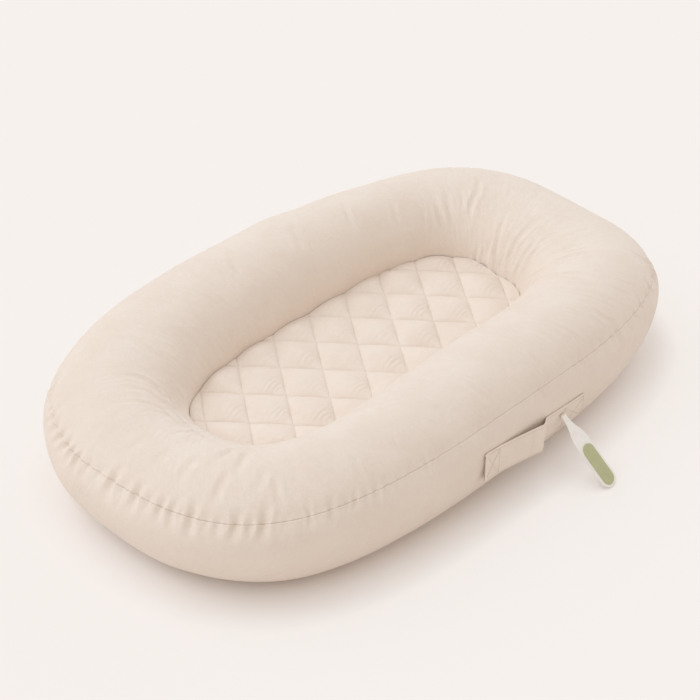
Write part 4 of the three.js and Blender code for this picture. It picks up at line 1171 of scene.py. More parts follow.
def strap_half(name, x_from, x_to, free_end):
    """Half the strap. The cut end is where it starts if free end is -1, and where it stops if it is 1."""
    x = np.linspace(x_from, x_to, int(abs(x_to - x_from) / STRAP_STEP))
    x = np.unique(np.concatenate([x, x_from + END_STEPS if free_end < 0 else x_to - END_STEPS]))
    from_end = (x - x_from) if free_end < 0 else (x_to - x)
    into_corner = np.clip(STRAP_CORNER - from_end, 0, None)
    corner = STRAP_CORNER - np.sqrt(np.clip(STRAP_CORNER**2 - into_corner**2, 0, None))
    thick = np.sqrt(np.clip(1 - np.clip(1 - from_end / STRAP_EDGE, 0, 0.97) ** 2, 0, None))
    turn = np.linspace(-math.pi / 2, math.pi / 2, EDGE_TURN)
    edge_down, edge_lift = STRAP_EDGE * (1 - np.cos(turn)), 0.5 + 0.5 * np.sin(turn)
    face_down = STRAP_EDGE + (STRAP_WIDTH - 2 * STRAP_EDGE) * np.linspace(0, 1, STRAP_FACE + 2)[1:-1]
    down = np.concatenate([edge_down, face_down, STRAP_WIDTH - edge_down[::-1], face_down[::-1]])
    lift = np.concatenate([edge_lift, np.ones(STRAP_FACE), edge_lift[::-1], np.zeros(STRAP_FACE)])
    down = corner[:, None] + down * (1 - 2 * corner[:, None] / STRAP_WIDTH)
    lift = STRAP_THICKNESS * (0.5 + (np.broadcast_to(lift, down.shape) - 0.5) * thick[:, None])
    wide_x = np.broadcast_to(x[:, None], down.shape)
    base, normal = strap_frame(wide_x, down)
    front = lift > STRAP_THICKNESS / 2
    curl = CURL * (1 - smooth(from_end / CURL_REACH))[:, None] * (free_end < 0)
    rise = lift + front * strap_lift(wide_x, down) * smooth(from_end / FLAT_REACH)[:, None] + curl
    across = np.linspace(0, 2 * STRAP_WIDTH, down.shape[1] + 1)
    return make_piece(name, tube_part(base + normal * rise[..., None], x, across, around=False))


strap_foot = strap_half("handle_foot_half", HANDLE_FOOT, HANDLE_MIDDLE, -1)
strap_head = strap_half("handle_head_half", HANDLE_MIDDLE, HANDLE_HEAD, 1)
print("the strap halves have", len(strap_foot.data.vertices), "and", len(strap_head.data.vertices), "points")

# %% Stitches of the handle
HANDLE_STITCH, HANDLE_STITCH_GAP, HANDLE_THREAD, HANDLE_ARCH = 2.6 * MM, 0.9 * MM, 0.26 * MM, 0.3 * MM
FOOT_BOX = (HANDLE_FOOT + STITCH_IN, -0.0165)
HEAD_BOX = (0.1015, HANDLE_HEAD - STITCH_IN)
STITCH_DOWN = (STITCH_IN, STRAP_WIDTH - STITCH_IN)


def on_strap(x, down):
    """Points on the strap's face, and its normals."""
    base, normal = strap_frame(x, down)
    return base + normal * (STRAP_THICKNESS + strap_lift(x, down))[..., None], normal


def strap_stitches(name, runs):
    """Stitches along straight runs on the strap, each between two (place along, distance down) corners."""
    starts, ends, ups = [], [], []
    share = np.linspace(0, 1, 140)
    for (x_0, down_0), (x_1, down_1) in runs:
        path, normal = on_strap(x_0 + (x_1 - x_0) * share, down_0 + (down_1 - down_0) * share)
        begin, finish = along_path(path, HANDLE_STITCH, HANDLE_STITCH_GAP)
        starts.append(begin)
        ends.append(finish)
        nearest = [int(np.argmin(np.linalg.norm(path - point, axis=1))) for point in begin]
        ups.append(normal[nearest])
    return make_piece(name, stitches(
        np.concatenate(starts), np.concatenate(ends), np.concatenate(ups), HANDLE_THREAD, HANDLE_ARCH
    ))


def box_runs(x_range):
    """A stitched box's two short sides and its diagonals. The strap's long rows are its other two sides."""
    corners = [(x, down) for x in x_range for down in STITCH_DOWN]
    return [(corners[first], corners[last]) for first, last in ((0, 1), (2, 3), (0, 3), (1, 2))]


foot_stitches = strap_stitches("handle_foot_stitches", box_runs(FOOT_BOX) + [
    ((FOOT_BOX[0], down), (HANDLE_MIDDLE, down)) for down in STITCH_DOWN
])
head_stitches = strap_stitches("handle_head_stitches", box_runs(HEAD_BOX) + [
    ((HANDLE_MIDDLE, down), (HEAD_BOX[1], down)) for down in STITCH_DOWN
])
for piece in (foot_stitches, head_stitches):
    print(piece.name, "has", len(piece.data.vertices) // (THREAD_RINGS * THREAD_SIDES), "stitches")

# %% [markdown]
# ## Hang tag
# A stiff card hangs by its rolled upper end from a small folded tab sewn to the strap. It leans away from
# the wall until its tip rests on the floor. The card is cut from board with soft edges, and its face has a
# plain sage field. It is made flat and then placed by a frame whose origin is the middle of the rolled end
# that it turns about.

# %% The tag's own frame
TAG_LENGTH, TAG_HALF, TAG_NECK, TAG_THICKNESS, TAG_SHOULDER = 0.103, 0.012, 0.0035, 1.6 * MM, 0.42
TAG_BAR, TAB_RADIUS, TAG_TIP = 1.2 * MM, 2.6 * MM, 0.6 * MM
TAG_PLACE, TAG_DROP, TAG_LEAN = 0.095, 9 * MM, math.radians(8)

tag_x = np.array([TAG_PLACE])
tag_level = handle_top(tag_x) - TAG_DROP
tag_lift = 2 * STRAP_GAP + STRAP_THICKNESS + TAB_RADIUS
tag_pivot = (near_wall(tag_x, tag_level) + wall_normal(tag_x, tag_level) * tag_lift)[0]
tag_reach = (TAG_LENGTH - TAG_HALF) * math.cos(TAG_LEAN) + TAG_HALF
tag_dip = math.asin((tag_pivot[2] - TAG_TIP - TAG_THICKNESS / 2) / tag_reach)
tag_away = wall_normal(tag_x, handle_top(tag_x))[0] * [1, 1, 0]
tag_away /= np.linalg.norm(tag_away)
tag_bar = np.array([tag_away[1], -tag_away[0], 0])
tag_down = tag_away * math.cos(tag_dip) + np.array([0, 0, -math.sin(tag_dip)])
tag_face = np.cross(tag_bar, tag_down)
print("the tag turns about", np.round(tag_pivot, 5), "and hangs", round(math.degrees(tag_dip), 1), "deg down")


def in_tag(points, lean=TAG_LEAN):
    """Points of the flat tag, turned by its lean and placed on the lounger."""
    x, y, z = np.moveaxis(points, -1, 0)
    x, y = x * math.cos(lean) - y * math.sin(lean), x * math.sin(lean) + y * math.cos(lean)
    return tag_pivot + x[..., None] * tag_bar + y[..., None] * tag_down + z[..., None] * tag_face


# %% Card and its sage field
def bend(start, pull_1, pull_2, end, count):
    """A smooth curve from a start to an end, drawn towards two points on its way."""
    t = np.linspace(0, 1, count)[:, None]
    start, pull_1, pull_2, end = map(np.array, (start, pull_1, pull_2, end))
    return start * (1 - t) ** 3 + 3 * pull_1 * t * (1 - t) ** 2 + 3 * pull_2 * t**2 * (1 - t) + end * t**3


def arc_of(middle, radius, start, finish, count):
    """Points on part of a circle."""
    turn = np.linspace(start, finish, count)
    return np.stack([middle[0] + radius * np.cos(turn), middle[1] + radius * np.sin(turn)], -1)


def tidy_loop(loop, count):
    """The same closed outline with its points spread evenly."""
    closed = np.concatenate([loop, loop[:1]])
    length = np.concatenate([[0], np.cumsum(np.linalg.norm(np.diff(closed, axis=0), axis=1))])
    at = np.arange(count) * length[-1] / count
    return np.stack([np.interp(at, length, closed[:, k]) for k in (0, 1)], -1)


def board(outline_points, levels):
    """A plate given by its outline: for each level, how far in the outline is and how high it lies."""
    ahead = np.roll(outline_points, -1, 0) - np.roll(outline_points, 1, 0)
    inwards = np.stack([-ahead[:, 1], ahead[:, 0]], -1)
    inwards /= np.maximum(np.linalg.norm(inwards, axis=1, keepdims=True), 1e-12)
    x, y = outline_points.T
    inwards *= np.sign((x * np.roll(y, -1) - np.roll(x, -1) * y).sum())
    rows = np.stack([
        np.concatenate([outline_points + inwards * inset, np.full((len(x), 1), z)], 1) for inset, z in levels
    ])
    along, across = np.linspace(0, 0.01, len(rows)), np.linspace(0, 0.2, len(x) + 1)
    return tube_part(in_tag(rows), along, across, around=False)


shoulder = TAG_LENGTH * TAG_SHOULDER
card_outline = tidy_loop(np.concatenate([
    bend((-TAG_NECK, 0), (-TAG_NECK, shoulder / 2), (-TAG_HALF, shoulder / 2), (-TAG_HALF, shoulder), 60),
    arc_of((0, TAG_LENGTH - TAG_HALF), TAG_HALF, math.pi, 0, 60),
    bend((TAG_HALF, shoulder), (TAG_HALF, shoulder / 2), (TAG_NECK, shoulder / 2), (TAG_NECK, 0), 60),
]), 260)
half_card = TAG_THICKNESS / 2
card_part = board(card_outline, [
    (0.35 * MM, -half_card), (0.1 * MM, -half_card + 0.12 * MM), (0, -half_card + 0.35 * MM),
    (0, half_card - 0.35 * MM), (0.1 * MM, half_card - 0.12 * MM), (0.35 * MM, half_card),
])
ROLL_SIDES = 24
roll_turn = np.linspace(0, 2 * math.pi, ROLL_SIDES + 1)[:-1]
roll_x = np.array([-TAG_NECK, -TAG_NECK + 0.2 * MM, TAG_NECK - 0.2 * MM, TAG_NECK])
roll_radius = TAG_BAR * np.array([0.85, 1, 1, 0.85])
roll_rows = np.stack([
    np.stack([np.full(ROLL_SIDES, x), radius * np.cos(roll_turn), radius * np.sin(roll_turn)], -1)
    for x, radius in zip(roll_x, roll_radius)
])
roll_part = tube_part(in_tag(roll_rows, 0), roll_x, np.linspace(0, 0.0075, ROLL_SIDES + 1), around=False)
tag_card = make_piece("hang_tag_card", card_part, roll_part, crisp=True)

FIELD_HALF = TAG_HALF - 3 * MM
field_outline = tidy_loop(np.concatenate([
    arc_of((0, shoulder + FIELD_HALF), FIELD_HALF, math.pi, 2 * math.pi, 60),
    arc_of((0, TAG_LENGTH - TAG_HALF), FIELD_HALF, 0, math.pi, 60),
]), 200)
field_low, field_high = half_card + 0.3 * MM, half_card + 0.8 * MM
tag_field = make_piece("hang_tag_field", board(field_outline, [
    (0.2 * MM, field_low), (0, field_low + 0.15 * MM), (0, field_high - 0.15 * MM), (0.25 * MM, field_high),
]), crisp=True)
print("the card has", len(tag_card.data.vertices), "points and its field", len(tag_field.data.vertices))

# %% The folded tab
TAB_MOUTH, TAB_SWING, TAB_STEPS = math.radians(40), math.radians(80), 46
tab_from, tab_to = TAB_SWING + TAB_MOUTH, 2 * math.pi - TAB_MOUTH
tab_inner = TAG_BAR + STRAP_GAP


def tab_row(x, ease):
    """One loop of the tab's section: out along its outside, home along its inside."""
    outer = arc_of((0, 0), TAB_RADIUS - ease, tab_from, tab_to, TAB_STEPS)
    inner = arc_of((0, 0), tab_inner + ease * 0.6, tab_to, tab_from, TAB_STEPS)
    section = np.concatenate([outer, inner])
    return np.stack([np.full(2 * TAB_STEPS, x), section[:, 0], section[:, 1]], -1)


tab_x = np.array([-4, -3.85, -3.5, -3, -2, 0, 2, 3, 3.5, 3.85, 4]) * MM
tab_ease = np.array([0.35, 0.12, 0, 0.08, 0, 0, 0, 0.08, 0, 0.12, 0.35]) * MM
tab_rows = np.stack([tab_row(x, ease) for x, ease in zip(tab_x, tab_ease)])
tag_tab = make_piece("hang_tag_tab", tube_part(
    in_tag(tab_rows, 0), tab_x, np.linspace(0, 0.02, 2 * TAB_STEPS + 1), around=False
))
print("the folded tab has", len(tag_tab.data.vertices), "points")

# %% [markdown]
# ## Surface effects as node groups
# The cloths differ in colour and scale, but they are all made of the same things: threads that go over and
# under each other, fine creases across the ring, a soft brushed nap on top, and slow changes of tone where
# the dye lies unevenly. Each is a node group with its own inputs, so that every cloth uses the same ones with
# its own values. The weave and the creases are drawn on the flat cloth, and the nap and tone in space. A last
# group draws the twist of sewing thread.

# %% Node helpers
def add_node(tree, kind, inputs=None, **settings):
    """A node with its settings, whose inputs are set to values or joined to other nodes' outputs."""
    node = tree.nodes.new(kind)
    for name, value in settings.items():
        setattr(node, name, value)
    for name, value in (inputs or {}).items():
        if isinstance(value, bpy.types.NodeSocket):
            tree.links.new(value, node.inputs[name])
        else:
            node.inputs[name].default_value = value
    return node


def maths(tree, operation, first, second=0.0, clamp=False):
    """A math node's result."""
    inputs = {0: first, 1: second}
    return add_node(tree, "ShaderNodeMath", inputs, operation=operation, use_clamp=clamp).outputs[0]


def noise(tree, place, scale, detail, roughness, distortion=0.0):
    """A noise texture's value."""
    return add_node(tree, "ShaderNodeTexNoise", {
        "Vector": place, "Scale": scale, "Detail": detail, "Roughness": roughness, "Distortion": distortion,
    }).outputs[0]


def spread(tree, value, low, high):
    """A value spread out so that low becomes 0 and high becomes 1."""
    return add_node(tree, "ShaderNodeMapRange", {
        "Value": value, "From Min": low, "From Max": high, "To Min": 0.0, "To Max": 1.0,
    }).outputs[0]


def cloth_place(tree):
    """The place on the flat cloth: along it and across it, in metres."""
    place = add_node(tree, "ShaderNodeUVMap", uv_map=CLOTH_MAP).outputs[0]
    return add_node(tree, "ShaderNodeSeparateXYZ", {0: place}).outputs


def new_group(name, inputs, outputs):
    """An empty node group with named inputs and outputs. An input is (name, kind, value)."""
    group = bpy.data.node_groups.new(name, "ShaderNodeTree")
    for label, kind, value in inputs:
        socket = group.interface.new_socket(label, in_out="INPUT", socket_type=kind)
        socket.default_value = value
    for label, kind in outputs:
        group.interface.new_socket(label, in_out="OUTPUT", socket_type=kind)
    return group, group.nodes.new("NodeGroupInput").outputs, group.nodes.new("NodeGroupOutput").inputs


NUMBER, COLOUR = "NodeSocketFloat", "NodeSocketColor"
print("sockets are made as", NUMBER, "or", COLOUR)

# %% Woven threads
weave, weave_in, weave_out = new_group(
    "woven_threads", [("Threads per metre", NUMBER, 1400.0)], [("Height", NUMBER)]
)
weave_place = cloth_place(weave)
weave_rate = maths(weave, "MULTIPLY", weave_in[0], math.pi)
weave_waves = [maths(weave, "SINE", maths(weave, "MULTIPLY", weave_place[k], weave_rate)) for k in (0, 1)]
weave_over = maths(weave, "GREATER_THAN", maths(weave, "MULTIPLY", *weave_waves), 0.0)
weave_under = maths(weave, "SUBTRACT", 1.0, weave_over)
weave_warp = maths(weave, "MULTIPLY", maths(weave, "ABSOLUTE", weave_waves[0]), weave_over)
weave_weft = maths(weave, "MULTIPLY", maths(weave, "ABSOLUTE", weave_waves[1]), weave_under)
weave.links.new(maths(weave, "ADD", weave_warp, weave_weft), weave_out[0])
print(weave.name, "has", len(weave.nodes), "nodes")

# %% Fine creases across the ring
# The place round the ring is bent into a circle first, so that the creases close on themselves.
CREASE_LEAN = 0.4
crease, crease_in, crease_out = new_group(
    "fine_creases", [("Crease width", NUMBER, 0.006), ("Crease length", NUMBER, 0.06)], [("Height", NUMBER)]
)
crease_place = cloth_place(crease)
crease_lean = maths(crease, "MULTIPLY", crease_place[1], CREASE_LEAN)
crease_round = maths(crease, "ADD", crease_place[0], crease_lean)
crease_turn = maths(crease, "MULTIPLY", crease_round, 2 * math.pi / RING_ROUND)
crease_radius = maths(crease, "DIVIDE", RING_ROUND / (2 * math.pi), crease_in[0])
crease_circle = add_node(crease, "ShaderNodeCombineXYZ", {
    0: maths(crease, "MULTIPLY", maths(crease, "COSINE", crease_turn), crease_radius),
    1: maths(crease, "MULTIPLY", maths(crease, "SINE", crease_turn), crease_radius),
    2: maths(crease, "DIVIDE", crease_place[1], crease_in[1]),
})
crease.links.new(noise(crease, crease_circle.outputs[0], 1.0, 3.0, 0.5, 0.2), crease_out[0])
print(crease.name, "has", len(crease.nodes), "nodes")

# %% Brushed nap
FIBRE_SHARE, CLUMP_SHARE = 0.45, 0.55
nap, nap_in, nap_out = new_group(
    "brushed_nap", [("Fibre size", NUMBER, 0.0012), ("Clump size", NUMBER, 0.004)],
    [("Height", NUMBER), ("Tone", NUMBER)],
)
nap_place = add_node(nap, "ShaderNodeTexCoord").outputs["Object"]
nap_fibre = noise(nap, nap_place, maths(nap, "DIVIDE", 1.0, nap_in[0]), 3.0, 0.6, 0.4)
nap_clump = noise(nap, nap_place, maths(nap, "DIVIDE", 1.0, nap_in[1]), 2.0, 0.5, 0.8)
nap_height = maths(
    nap, "ADD", maths(nap, "MULTIPLY", nap_fibre, FIBRE_SHARE), maths(nap, "MULTIPLY", nap_clump, CLUMP_SHARE)
)
nap.links.new(nap_height, nap_out[0])
nap.links.new(spread(nap, nap_height, 0.36, 0.64), nap_out[1])
print(nap.name, "has", len(nap.nodes), "nodes")

# %% Slow changes of tone
tone, tone_in, tone_out = new_group(
    "cloth_tone",
    [("Light colour", COLOUR, (0.8, 0.7, 0.6, 1)), ("Dark colour", COLOUR, (0.7, 0.6, 0.5, 1)),
     ("Patch size", NUMBER, 0.05), ("Fleck", NUMBER, 0.5), ("Fleck share", NUMBER, 0.5)],
    [("Colour", COLOUR)],
)
tone_place = add_node(tone, "ShaderNodeTexCoord").outputs["Object"]
tone_patch = noise(tone, tone_place, maths(tone, "DIVIDE", 1.0, tone_in[2]), 3.0, 0.55)
tone_even = spread(tone, tone_patch, 0.35, 0.65)
tone_kept = maths(tone, "MULTIPLY", tone_even, maths(tone, "SUBTRACT", 1.0, tone_in[4]))
tone_share = maths(tone, "ADD", tone_kept, maths(tone, "MULTIPLY", tone_in[3], tone_in[4]), clamp=True)
tone_mix = add_node(tone, "ShaderNodeMix", {0: tone_share, 6: tone_in[1], 7: tone_in[0]}, data_type="RGBA")
tone.links.new(tone_mix.outputs[2], tone_out[0])
print(tone.name, "has", len(tone.nodes), "nodes")

# %% The twist of sewing thread
twist, twist_in, twist_out = new_group(
    "thread_twist", [("Turns per metre", NUMBER, 2200.0)], [("Height", NUMBER)]
)
twist_place = cloth_place(twist)
twist_slope = maths(twist, "ADD", twist_place[0], twist_place[1])
twist_rate = maths(twist, "MULTIPLY", twist_in[0], 2 * math.pi)
twist_wave = maths(twist, "SINE", maths(twist, "MULTIPLY", twist_slope, twist_rate))
twist.links.new(maths(twist, "MULTIPLY_ADD", twist_wave, 0.5), twist_out[0])
print(twist.name, "has", len(twist.nodes), "nodes")

# %% [markdown]
# ## Materials
# Brushed cotton is nearly matt, with a faint sheen of fibre ends where it is seen at a low angle, so each
# cloth is a rough Principled shader with a little sheen. The tone group gives its colour, and weave, nap and
# creases add up to one height for its bump. Thread, nylon, metal and board use the same nap and tone.

# %% Materials from the groups
CREASE_WIDTH, CREASE_LENGTH = 0.009, 0.06


def srgb(red, green, blue):
    """A colour given as it looks on a screen, 0 to 255, as the linear colour that a shader takes."""
    value = [v / 255 for v in (red, green, blue)]
    return [v / 12.92 if v <= 0.04045 else ((v + 0.055) / 1.055) ** 2.4 for v in value] + [1]


def new_material(name, roughness, **constants):
    """A material with a Principled shader. The constants are set on its own sockets."""
    material = bpy.data.materials.new(name)
    material.use_nodes = True
    shader = material.node_tree.nodes["Principled BSDF"]
    shader.inputs["Roughness"].default_value = roughness
    for label, value in constants.items():
        shader.inputs[label.replace("_", " ")].default_value = value
    return material, material.node_tree, shader


def group_node(tree, group, inputs):
    """A node group placed in a material with its own values."""
    return add_node(tree, "ShaderNodeGroup", inputs, node_tree=group)


def add_tone(tree, shader, light, dark, patch, fibre, clump, fleck_share):
    """Gives the base colour slow changes and flecks, and returns the nap that the flecks come from."""
    nap_node = group_node(tree, nap, {"Fibre size": fibre, "Clump size": clump})
    tone_node = group_node(tree, tone, {
        "Light colour": light, "Dark colour": dark, "Patch size": patch,
        "Fleck": nap_node.outputs["Tone"], "Fleck share": fleck_share,
    })
    tree.links.new(tone_node.outputs[0], shader.inputs["Base Color"])
    return nap_node.outputs["Height"]


def add_bump(tree, shader, height):
    """Bends the shading by a height in metres."""
    bump = add_node(tree, "ShaderNodeBump", {"Height": height, "Distance": 1.0, "Strength": 1.0})
    tree.links.new(bump.outputs[0], shader.inputs["Normal"])


print("a grey of 128 on the screen is", round(srgb(128, 128, 128)[0], 3), "as linear light")

# %% The cloths
def cloth_material(name, light, dark, threads, weave_depth, nap_depth, crease_depth, fibre, patch, sheen):
    """Woven and brushed cloth. Threads are counted per metre, and every depth and size is in metres."""
    material, tree, shader = new_material(
        name, 0.92, Sheen_Weight=sheen, Sheen_Roughness=0.45, Specular_IOR_Level=0.25
    )
    nap_height = add_tone(tree, shader, light, dark, patch, fibre, fibre * 3.4, 0.45)
    weave_node = group_node(tree, weave, {"Threads per metre": threads})
    crease_node = group_node(tree, crease, {"Crease width": CREASE_WIDTH, "Crease length": CREASE_LENGTH})
    height = maths(tree, "ADD", maths(tree, "MULTIPLY", weave_node.outputs[0], weave_depth),
                   maths(tree, "MULTIPLY", nap_height, nap_depth))
    height = maths(tree, "ADD", height, maths(tree, "MULTIPLY", crease_node.outputs[0], crease_depth))
    add_bump(tree, shader, height)
    return material


cover_cotton = cloth_material(
    "cover_cotton", srgb(239, 226, 214), srgb(234, 219, 206), threads=1500,
    weave_depth=0.00003, nap_depth=0.0006, crease_depth=0.001, fibre=0.0016, patch=0.045, sheen=0.12,
)
quilt_cotton = cloth_material(
    "quilt_cotton", srgb(240, 227, 215), srgb(234, 219, 206), threads=1700,
    weave_depth=0.00003, nap_depth=0.00045, crease_depth=0.0001, fibre=0.0014, patch=0.04, sheen=0.12,
)
# The strap is the same cotton as the cover, in a slightly lighter copy: painted light that brightens the
# strap where the near wall lies in shade.
strap_cotton = cloth_material(
    "strap_cotton", srgb(241, 228, 216), srgb(235, 220, 207), threads=1300,
    weave_depth=0.00004, nap_depth=0.0004, crease_depth=0.0001, fibre=0.0014, patch=0.03, sheen=0.1,
)
lining_cotton = cloth_material(
    "lining_cotton", srgb(242, 236, 226), srgb(236, 228, 216), threads=1200,
    weave_depth=0.00005, nap_depth=0.0003, crease_depth=0.0003, fibre=0.0012, patch=0.05, sheen=0.05,
)
fibre_fill = cloth_material(
    "fibre_fill", srgb(247, 245, 240), srgb(240, 237, 230), threads=600,
    weave_depth=0.0, nap_depth=0.002, crease_depth=0.0002, fibre=0.004, patch=0.03, sheen=0.2,
)
zip_tape_cloth = cloth_material(
    "zip_tape", srgb(226, 212, 198), srgb(214, 199, 184), threads=1800,
    weave_depth=0.00008, nap_depth=0.0001, crease_depth=0.0, fibre=0.001, patch=0.02, sheen=0.05,
)
print("cloths made")

# %% Thread, nylon, metal and board
def plain_material(name, light, dark, roughness, patch, fibre, depth, **constants):
    """A finish with slow changes of tone and a fine grain."""
    material, tree, shader = new_material(name, roughness, **constants)
    nap_height = add_tone(tree, shader, light, dark, patch, fibre, fibre * 3, 0.4)
    add_bump(tree, shader, maths(tree, "MULTIPLY", nap_height, depth))
    return material


def thread_material(name, light, dark):
    """Sewing thread: a slight sheen, and the twist as its bump."""
    material, tree, shader = new_material(name, 0.7, Sheen_Weight=0.1)
    add_tone(tree, shader, light, dark, 0.01, 0.0008, 0.003, 0.5)
    twist_node = group_node(tree, twist, {"Turns per metre": 2200.0})
    add_bump(tree, shader, maths(tree, "MULTIPLY", twist_node.outputs[0], 0.00008))
    return material


# The quilting thread is a shade lighter than the quilt cloth: partly the thread's own colour, and partly a
# painted highlight for the lit edge beside each stitched line.
quilt_thread = thread_material("quilt_thread", srgb(244, 233, 220), srgb(232, 218, 203))
strap_thread = thread_material("strap_thread", srgb(222, 205, 188), srgb(208, 189, 171))
zip_nylon = plain_material(
    "zip_nylon", srgb(214, 198, 180), srgb(200, 183, 164), roughness=0.45, patch=0.01, fibre=0.0006,
    depth=0.00003,
)
zip_metal = plain_material(
    "zip_metal", srgb(196, 182, 162), srgb(182, 168, 148), roughness=0.32, patch=0.004, fibre=0.0004,
    depth=0.00002, Metallic=0.85,
)
card_board = plain_material(
    "tag_board", srgb(250, 246, 241), srgb(245, 240, 234), roughness=0.72, patch=0.012, fibre=0.0007,
    depth=0.00006,
)
card_sage = plain_material(
    "tag_sage", srgb(192, 193, 152), srgb(183, 184, 143), roughness=0.78, patch=0.012, fibre=0.0006,
    depth=0.00005,
)
print("thread, nylon, metal and board made")

# %% [markdown]
# ## Pieces join the frame
# Each piece is given its finish and the CAD nodes that it stands for, and all but the strap halves and their
# stitches are given a body. The two covers are sheets stretched over the ring cushion.

# %% Finishes and bodies
def finish_piece(piece, material, nodes=(), body="root"):
    """Gives a piece its finish, the CAD nodes that it stands for, and the body that carries it."""
    piece.data.materials.clear()
    piece.data.materials.append(material)
    if nodes:
        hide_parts(*nodes)
    if body:
        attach(piece, body)
    print(piece.name, "is made of", material.name)


finish_piece(upper_cover, cover_cotton, ["upper_cover"])
finish_piece(lower_cover, cover_cotton, ["lower_cover"])
finish_piece(ring_cushion, lining_cotton, ["ring_liner", "ring_filling"])
finish_piece(bed_quilt, quilt_cotton, ["bed_face", "bed_backing"])
finish_piece(bed_stitching, quilt_thread)
finish_piece(bed_cushion, fibre_fill, ["bed_core"])
finish_piece(base_wide, lining_cotton, ["base_panel"])
finish_piece(base_narrow, lining_cotton, ["base_flap"])
finish_piece(zip_tape_near, zip_tape_cloth, ["zip_tape_near"])
finish_piece(zip_tape_far, zip_tape_cloth, ["zip_tape_far"])
finish_piece(zip_coil_near, zip_nylon, ["zip_coil_near"])
finish_piece(zip_coil_far, zip_nylon, ["zip_coil_far"])
finish_piece(tag_card, card_board, ["tag_card"], "hang_tag")
finish_piece(tag_field, card_sage, ["tag_inlay"], "hang_tag")
finish_piece(tag_tab, strap_cotton, ["tag_tab"])
finish_piece(strap_foot, strap_cotton, ["handle_end_foot", "handle_span"], None)
finish_piece(strap_head, strap_cotton, ["handle_end_head"], None)
finish_piece(foot_stitches, strap_thread, (), None)
finish_piece(head_stitches, strap_thread, (), None)

for name in ("zip_stop_foot", "zip_stop_head", "zip_slider", "zip_pull"):
    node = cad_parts[name]
    node.data.materials.clear()
    node.data.materials.append(zip_metal)
    print(name, "is made of", zip_metal.name)

# %% The strap halves and their stitches have their places baked into their meshes
for piece in (strap_foot, foot_stitches):
    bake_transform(piece)
for piece in (strap_head, head_stitches):
    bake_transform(piece)

# %% [markdown]
# ## What the cloths are cut from
# A cover isn't cut in the shape that it has when it is filled. The upper one is cut as a flat oval ring: its
# inner edge is as long as the well's rim, and its outer edge is longer than the seam and is gathered into it.
# The lower one is cut as curved bands laid end to end, a little longer along the seam than along the floor.
# The base is an oval in two parts, one on each side of the zip. The areas come from these flat shapes, and
# not from the meshes, and each is printed beside the area of its mesh.

# %% Areas of the sheets as sewn and as cut
def sheet_area(piece):
    """Half the surface of a closed cloth: the area of one face."""
    return sum(face.area for face in piece.data.polygons) / 2


UPPER_ACROSS, UPPER_INNER_EDGE = 0.207, 1.128
UPPER_AREA = UPPER_ACROSS * UPPER_INNER_EDGE + math.pi * UPPER_ACROSS**2
LOWER_ACROSS, LOWER_SEAM_EDGE, LOWER_FLOOR_EDGE = 0.20, 2.26, 1.56
LOWER_AREA = LOWER_ACROSS * (LOWER_SEAM_EDGE + LOWER_FLOOR_EDGE) / 2
WIDE_AREA, NARROW_AREA = 0.125, 0.029
for piece, cut, area in (
    (upper_cover, (0.61, 0.87), UPPER_AREA),
    (lower_cover, (LOWER_ACROSS, LOWER_SEAM_EDGE), LOWER_AREA),
    (base_wide, (0.245, 0.60), WIDE_AREA),
    (base_narrow, (0.075, 0.56), NARROW_AREA),
):
    print(piece.name, "in m2: as sewn", round(sheet_area(piece), 3), "and as cut", round(area, 3))

# %% [markdown]
# ## Floor and light
# The picture is a pale studio shot: a floor of one colour that runs out of the picture on all sides, a
# broad soft light from the far side, weaker ones from both ends, and warm light from all round. A wide sun
# keeps the floor evenly lit from edge to edge, which a lamp nearby would not. Where the camera looks at it
# the floor also glows in the backdrop's colour, less so close to the lounger, so that the shadow is deep
# under the ring and light further out, as it is in the picture.

# %% The backdrop's colour
BACKDROP = srgb(247, 241, 237)


def seen_directly(tree):
    """1 where the camera, a mirror or glass looks at this place, and 0 where it lights another one."""
    path = add_node(tree, "ShaderNodeLightPath").outputs
    by_mirror_or_glass = maths(tree, "MAXIMUM", path["Is Glossy Ray"], path["Is Transmission Ray"])
    return maths(tree, "MAXIMUM", path["Is Camera Ray"], by_mirror_or_glass)


print("the backdrop as linear light:", [round(part, 3) for part in BACKDROP[:3]])

# %% Floor
FLOOR_REACH, FLOOR_GLOW, FLOOR_OPEN, FLOOR_OPEN_POWER = 9.0, 0.8, 0.06, 2.0
floor_mesh = bpy.data.meshes.new("floor")
floor_corners = [(x * FLOOR_REACH, y * FLOOR_REACH, 0) for x, y in ((-1, -1), (1, -1), (1, 1), (-1, 1))]
floor_mesh.from_pydata(floor_corners, [], [(0, 1, 2, 3)])
floor = bpy.data.objects.new("floor", floor_mesh)
bpy.context.scene.collection.objects.link(floor)
floor_finish, floor_tree, floor_shader = new_material("studio_floor", 0.9, Specular_IOR_Level=0.0)
floor_shader.inputs["Base Color"].default_value = BACKDROP
glow = add_node(floor_tree, "ShaderNodeEmission", {"Color": BACKDROP, "Strength": 1.0})
openness = add_node(floor_tree, "ShaderNodeAmbientOcclusion", {"Distance": FLOOR_OPEN}, samples=8)
open_share = maths(floor_tree, "POWER", openness.outputs["AO"], FLOOR_OPEN_POWER)
glow_share = maths(floor_tree, "MULTIPLY", open_share, FLOOR_GLOW)
glow_share = maths(floor_tree, "MULTIPLY", glow_share, seen_directly(floor_tree))
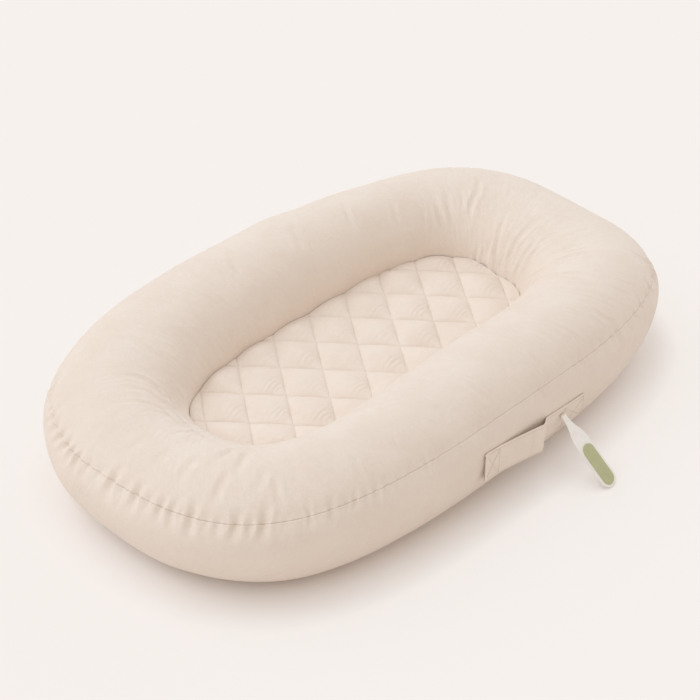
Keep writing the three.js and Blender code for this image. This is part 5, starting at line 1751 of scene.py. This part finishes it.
floor_both = add_node(
    floor_tree, "ShaderNodeMixShader", {0: glow_share, 1: floor_shader.outputs[0], 2: glow.outputs[0]}
)
floor_tree.links.new(floor_both.outputs[0], floor_tree.nodes["Material Output"].inputs["Surface"])
floor_mesh.materials.append(floor_finish)
print("the floor reaches", FLOOR_REACH, "m to each side")

# %% Lights
def wide_light(name, direction, strength, colour, spread):
    """A sun lamp so wide that it is a soft light from one side of the room."""
    lamp = bpy.data.objects.new(name, bpy.data.lights.new(name, "SUN"))
    lamp.data.energy, lamp.data.color, lamp.data.angle = math.pi * strength, colour, math.radians(spread)
    lamp.rotation_euler = Vector(direction).to_track_quat("Z", "Y").to_euler()
    bpy.context.scene.collection.objects.link(lamp)
    print(name, "shines from", [round(part, 2) for part in direction])


def from_side(bearing, height):
    """The direction towards a light. The bearing is 0 at the head end and 90 degrees at the far side."""
    bearing, height = math.radians(bearing), math.radians(height)
    return math.cos(bearing) * math.cos(height), math.sin(bearing) * math.cos(height), math.sin(height)


SOFT_SPREAD = 50
wide_light("key_light", from_side(110, 50), 0.287, (0.840, 0.913, 1.0), SOFT_SPREAD)
wide_light("side_light", from_side(174, 50), 0.187, (0.684, 0.850, 1.0), SOFT_SPREAD)
wide_light("back_light", from_side(0, 25), 0.184, (0.636, 0.810, 1.0), SOFT_SPREAD)

# %% Light from all round
AMBIENT = (0.668, 0.615, 0.559)
world = bpy.data.worlds.new("studio")
bpy.context.scene.world = world
world.use_nodes = True
world_tree = world.node_tree
world_tree.nodes.clear()
ambient = add_node(world_tree, "ShaderNodeBackground", {"Color": (*AMBIENT, 1), "Strength": 1.0})
backdrop = add_node(world_tree, "ShaderNodeBackground", {"Color": BACKDROP, "Strength": 1.0})
both = add_node(world_tree, "ShaderNodeMixShader", {
    0: seen_directly(world_tree), 1: ambient.outputs[0], 2: backdrop.outputs[0],
})
add_node(world_tree, "ShaderNodeOutputWorld", {"Surface": both.outputs[0]})

bpy.context.scene.view_settings.view_transform = "Standard"
print("the light from all round has the colour", AMBIENT)
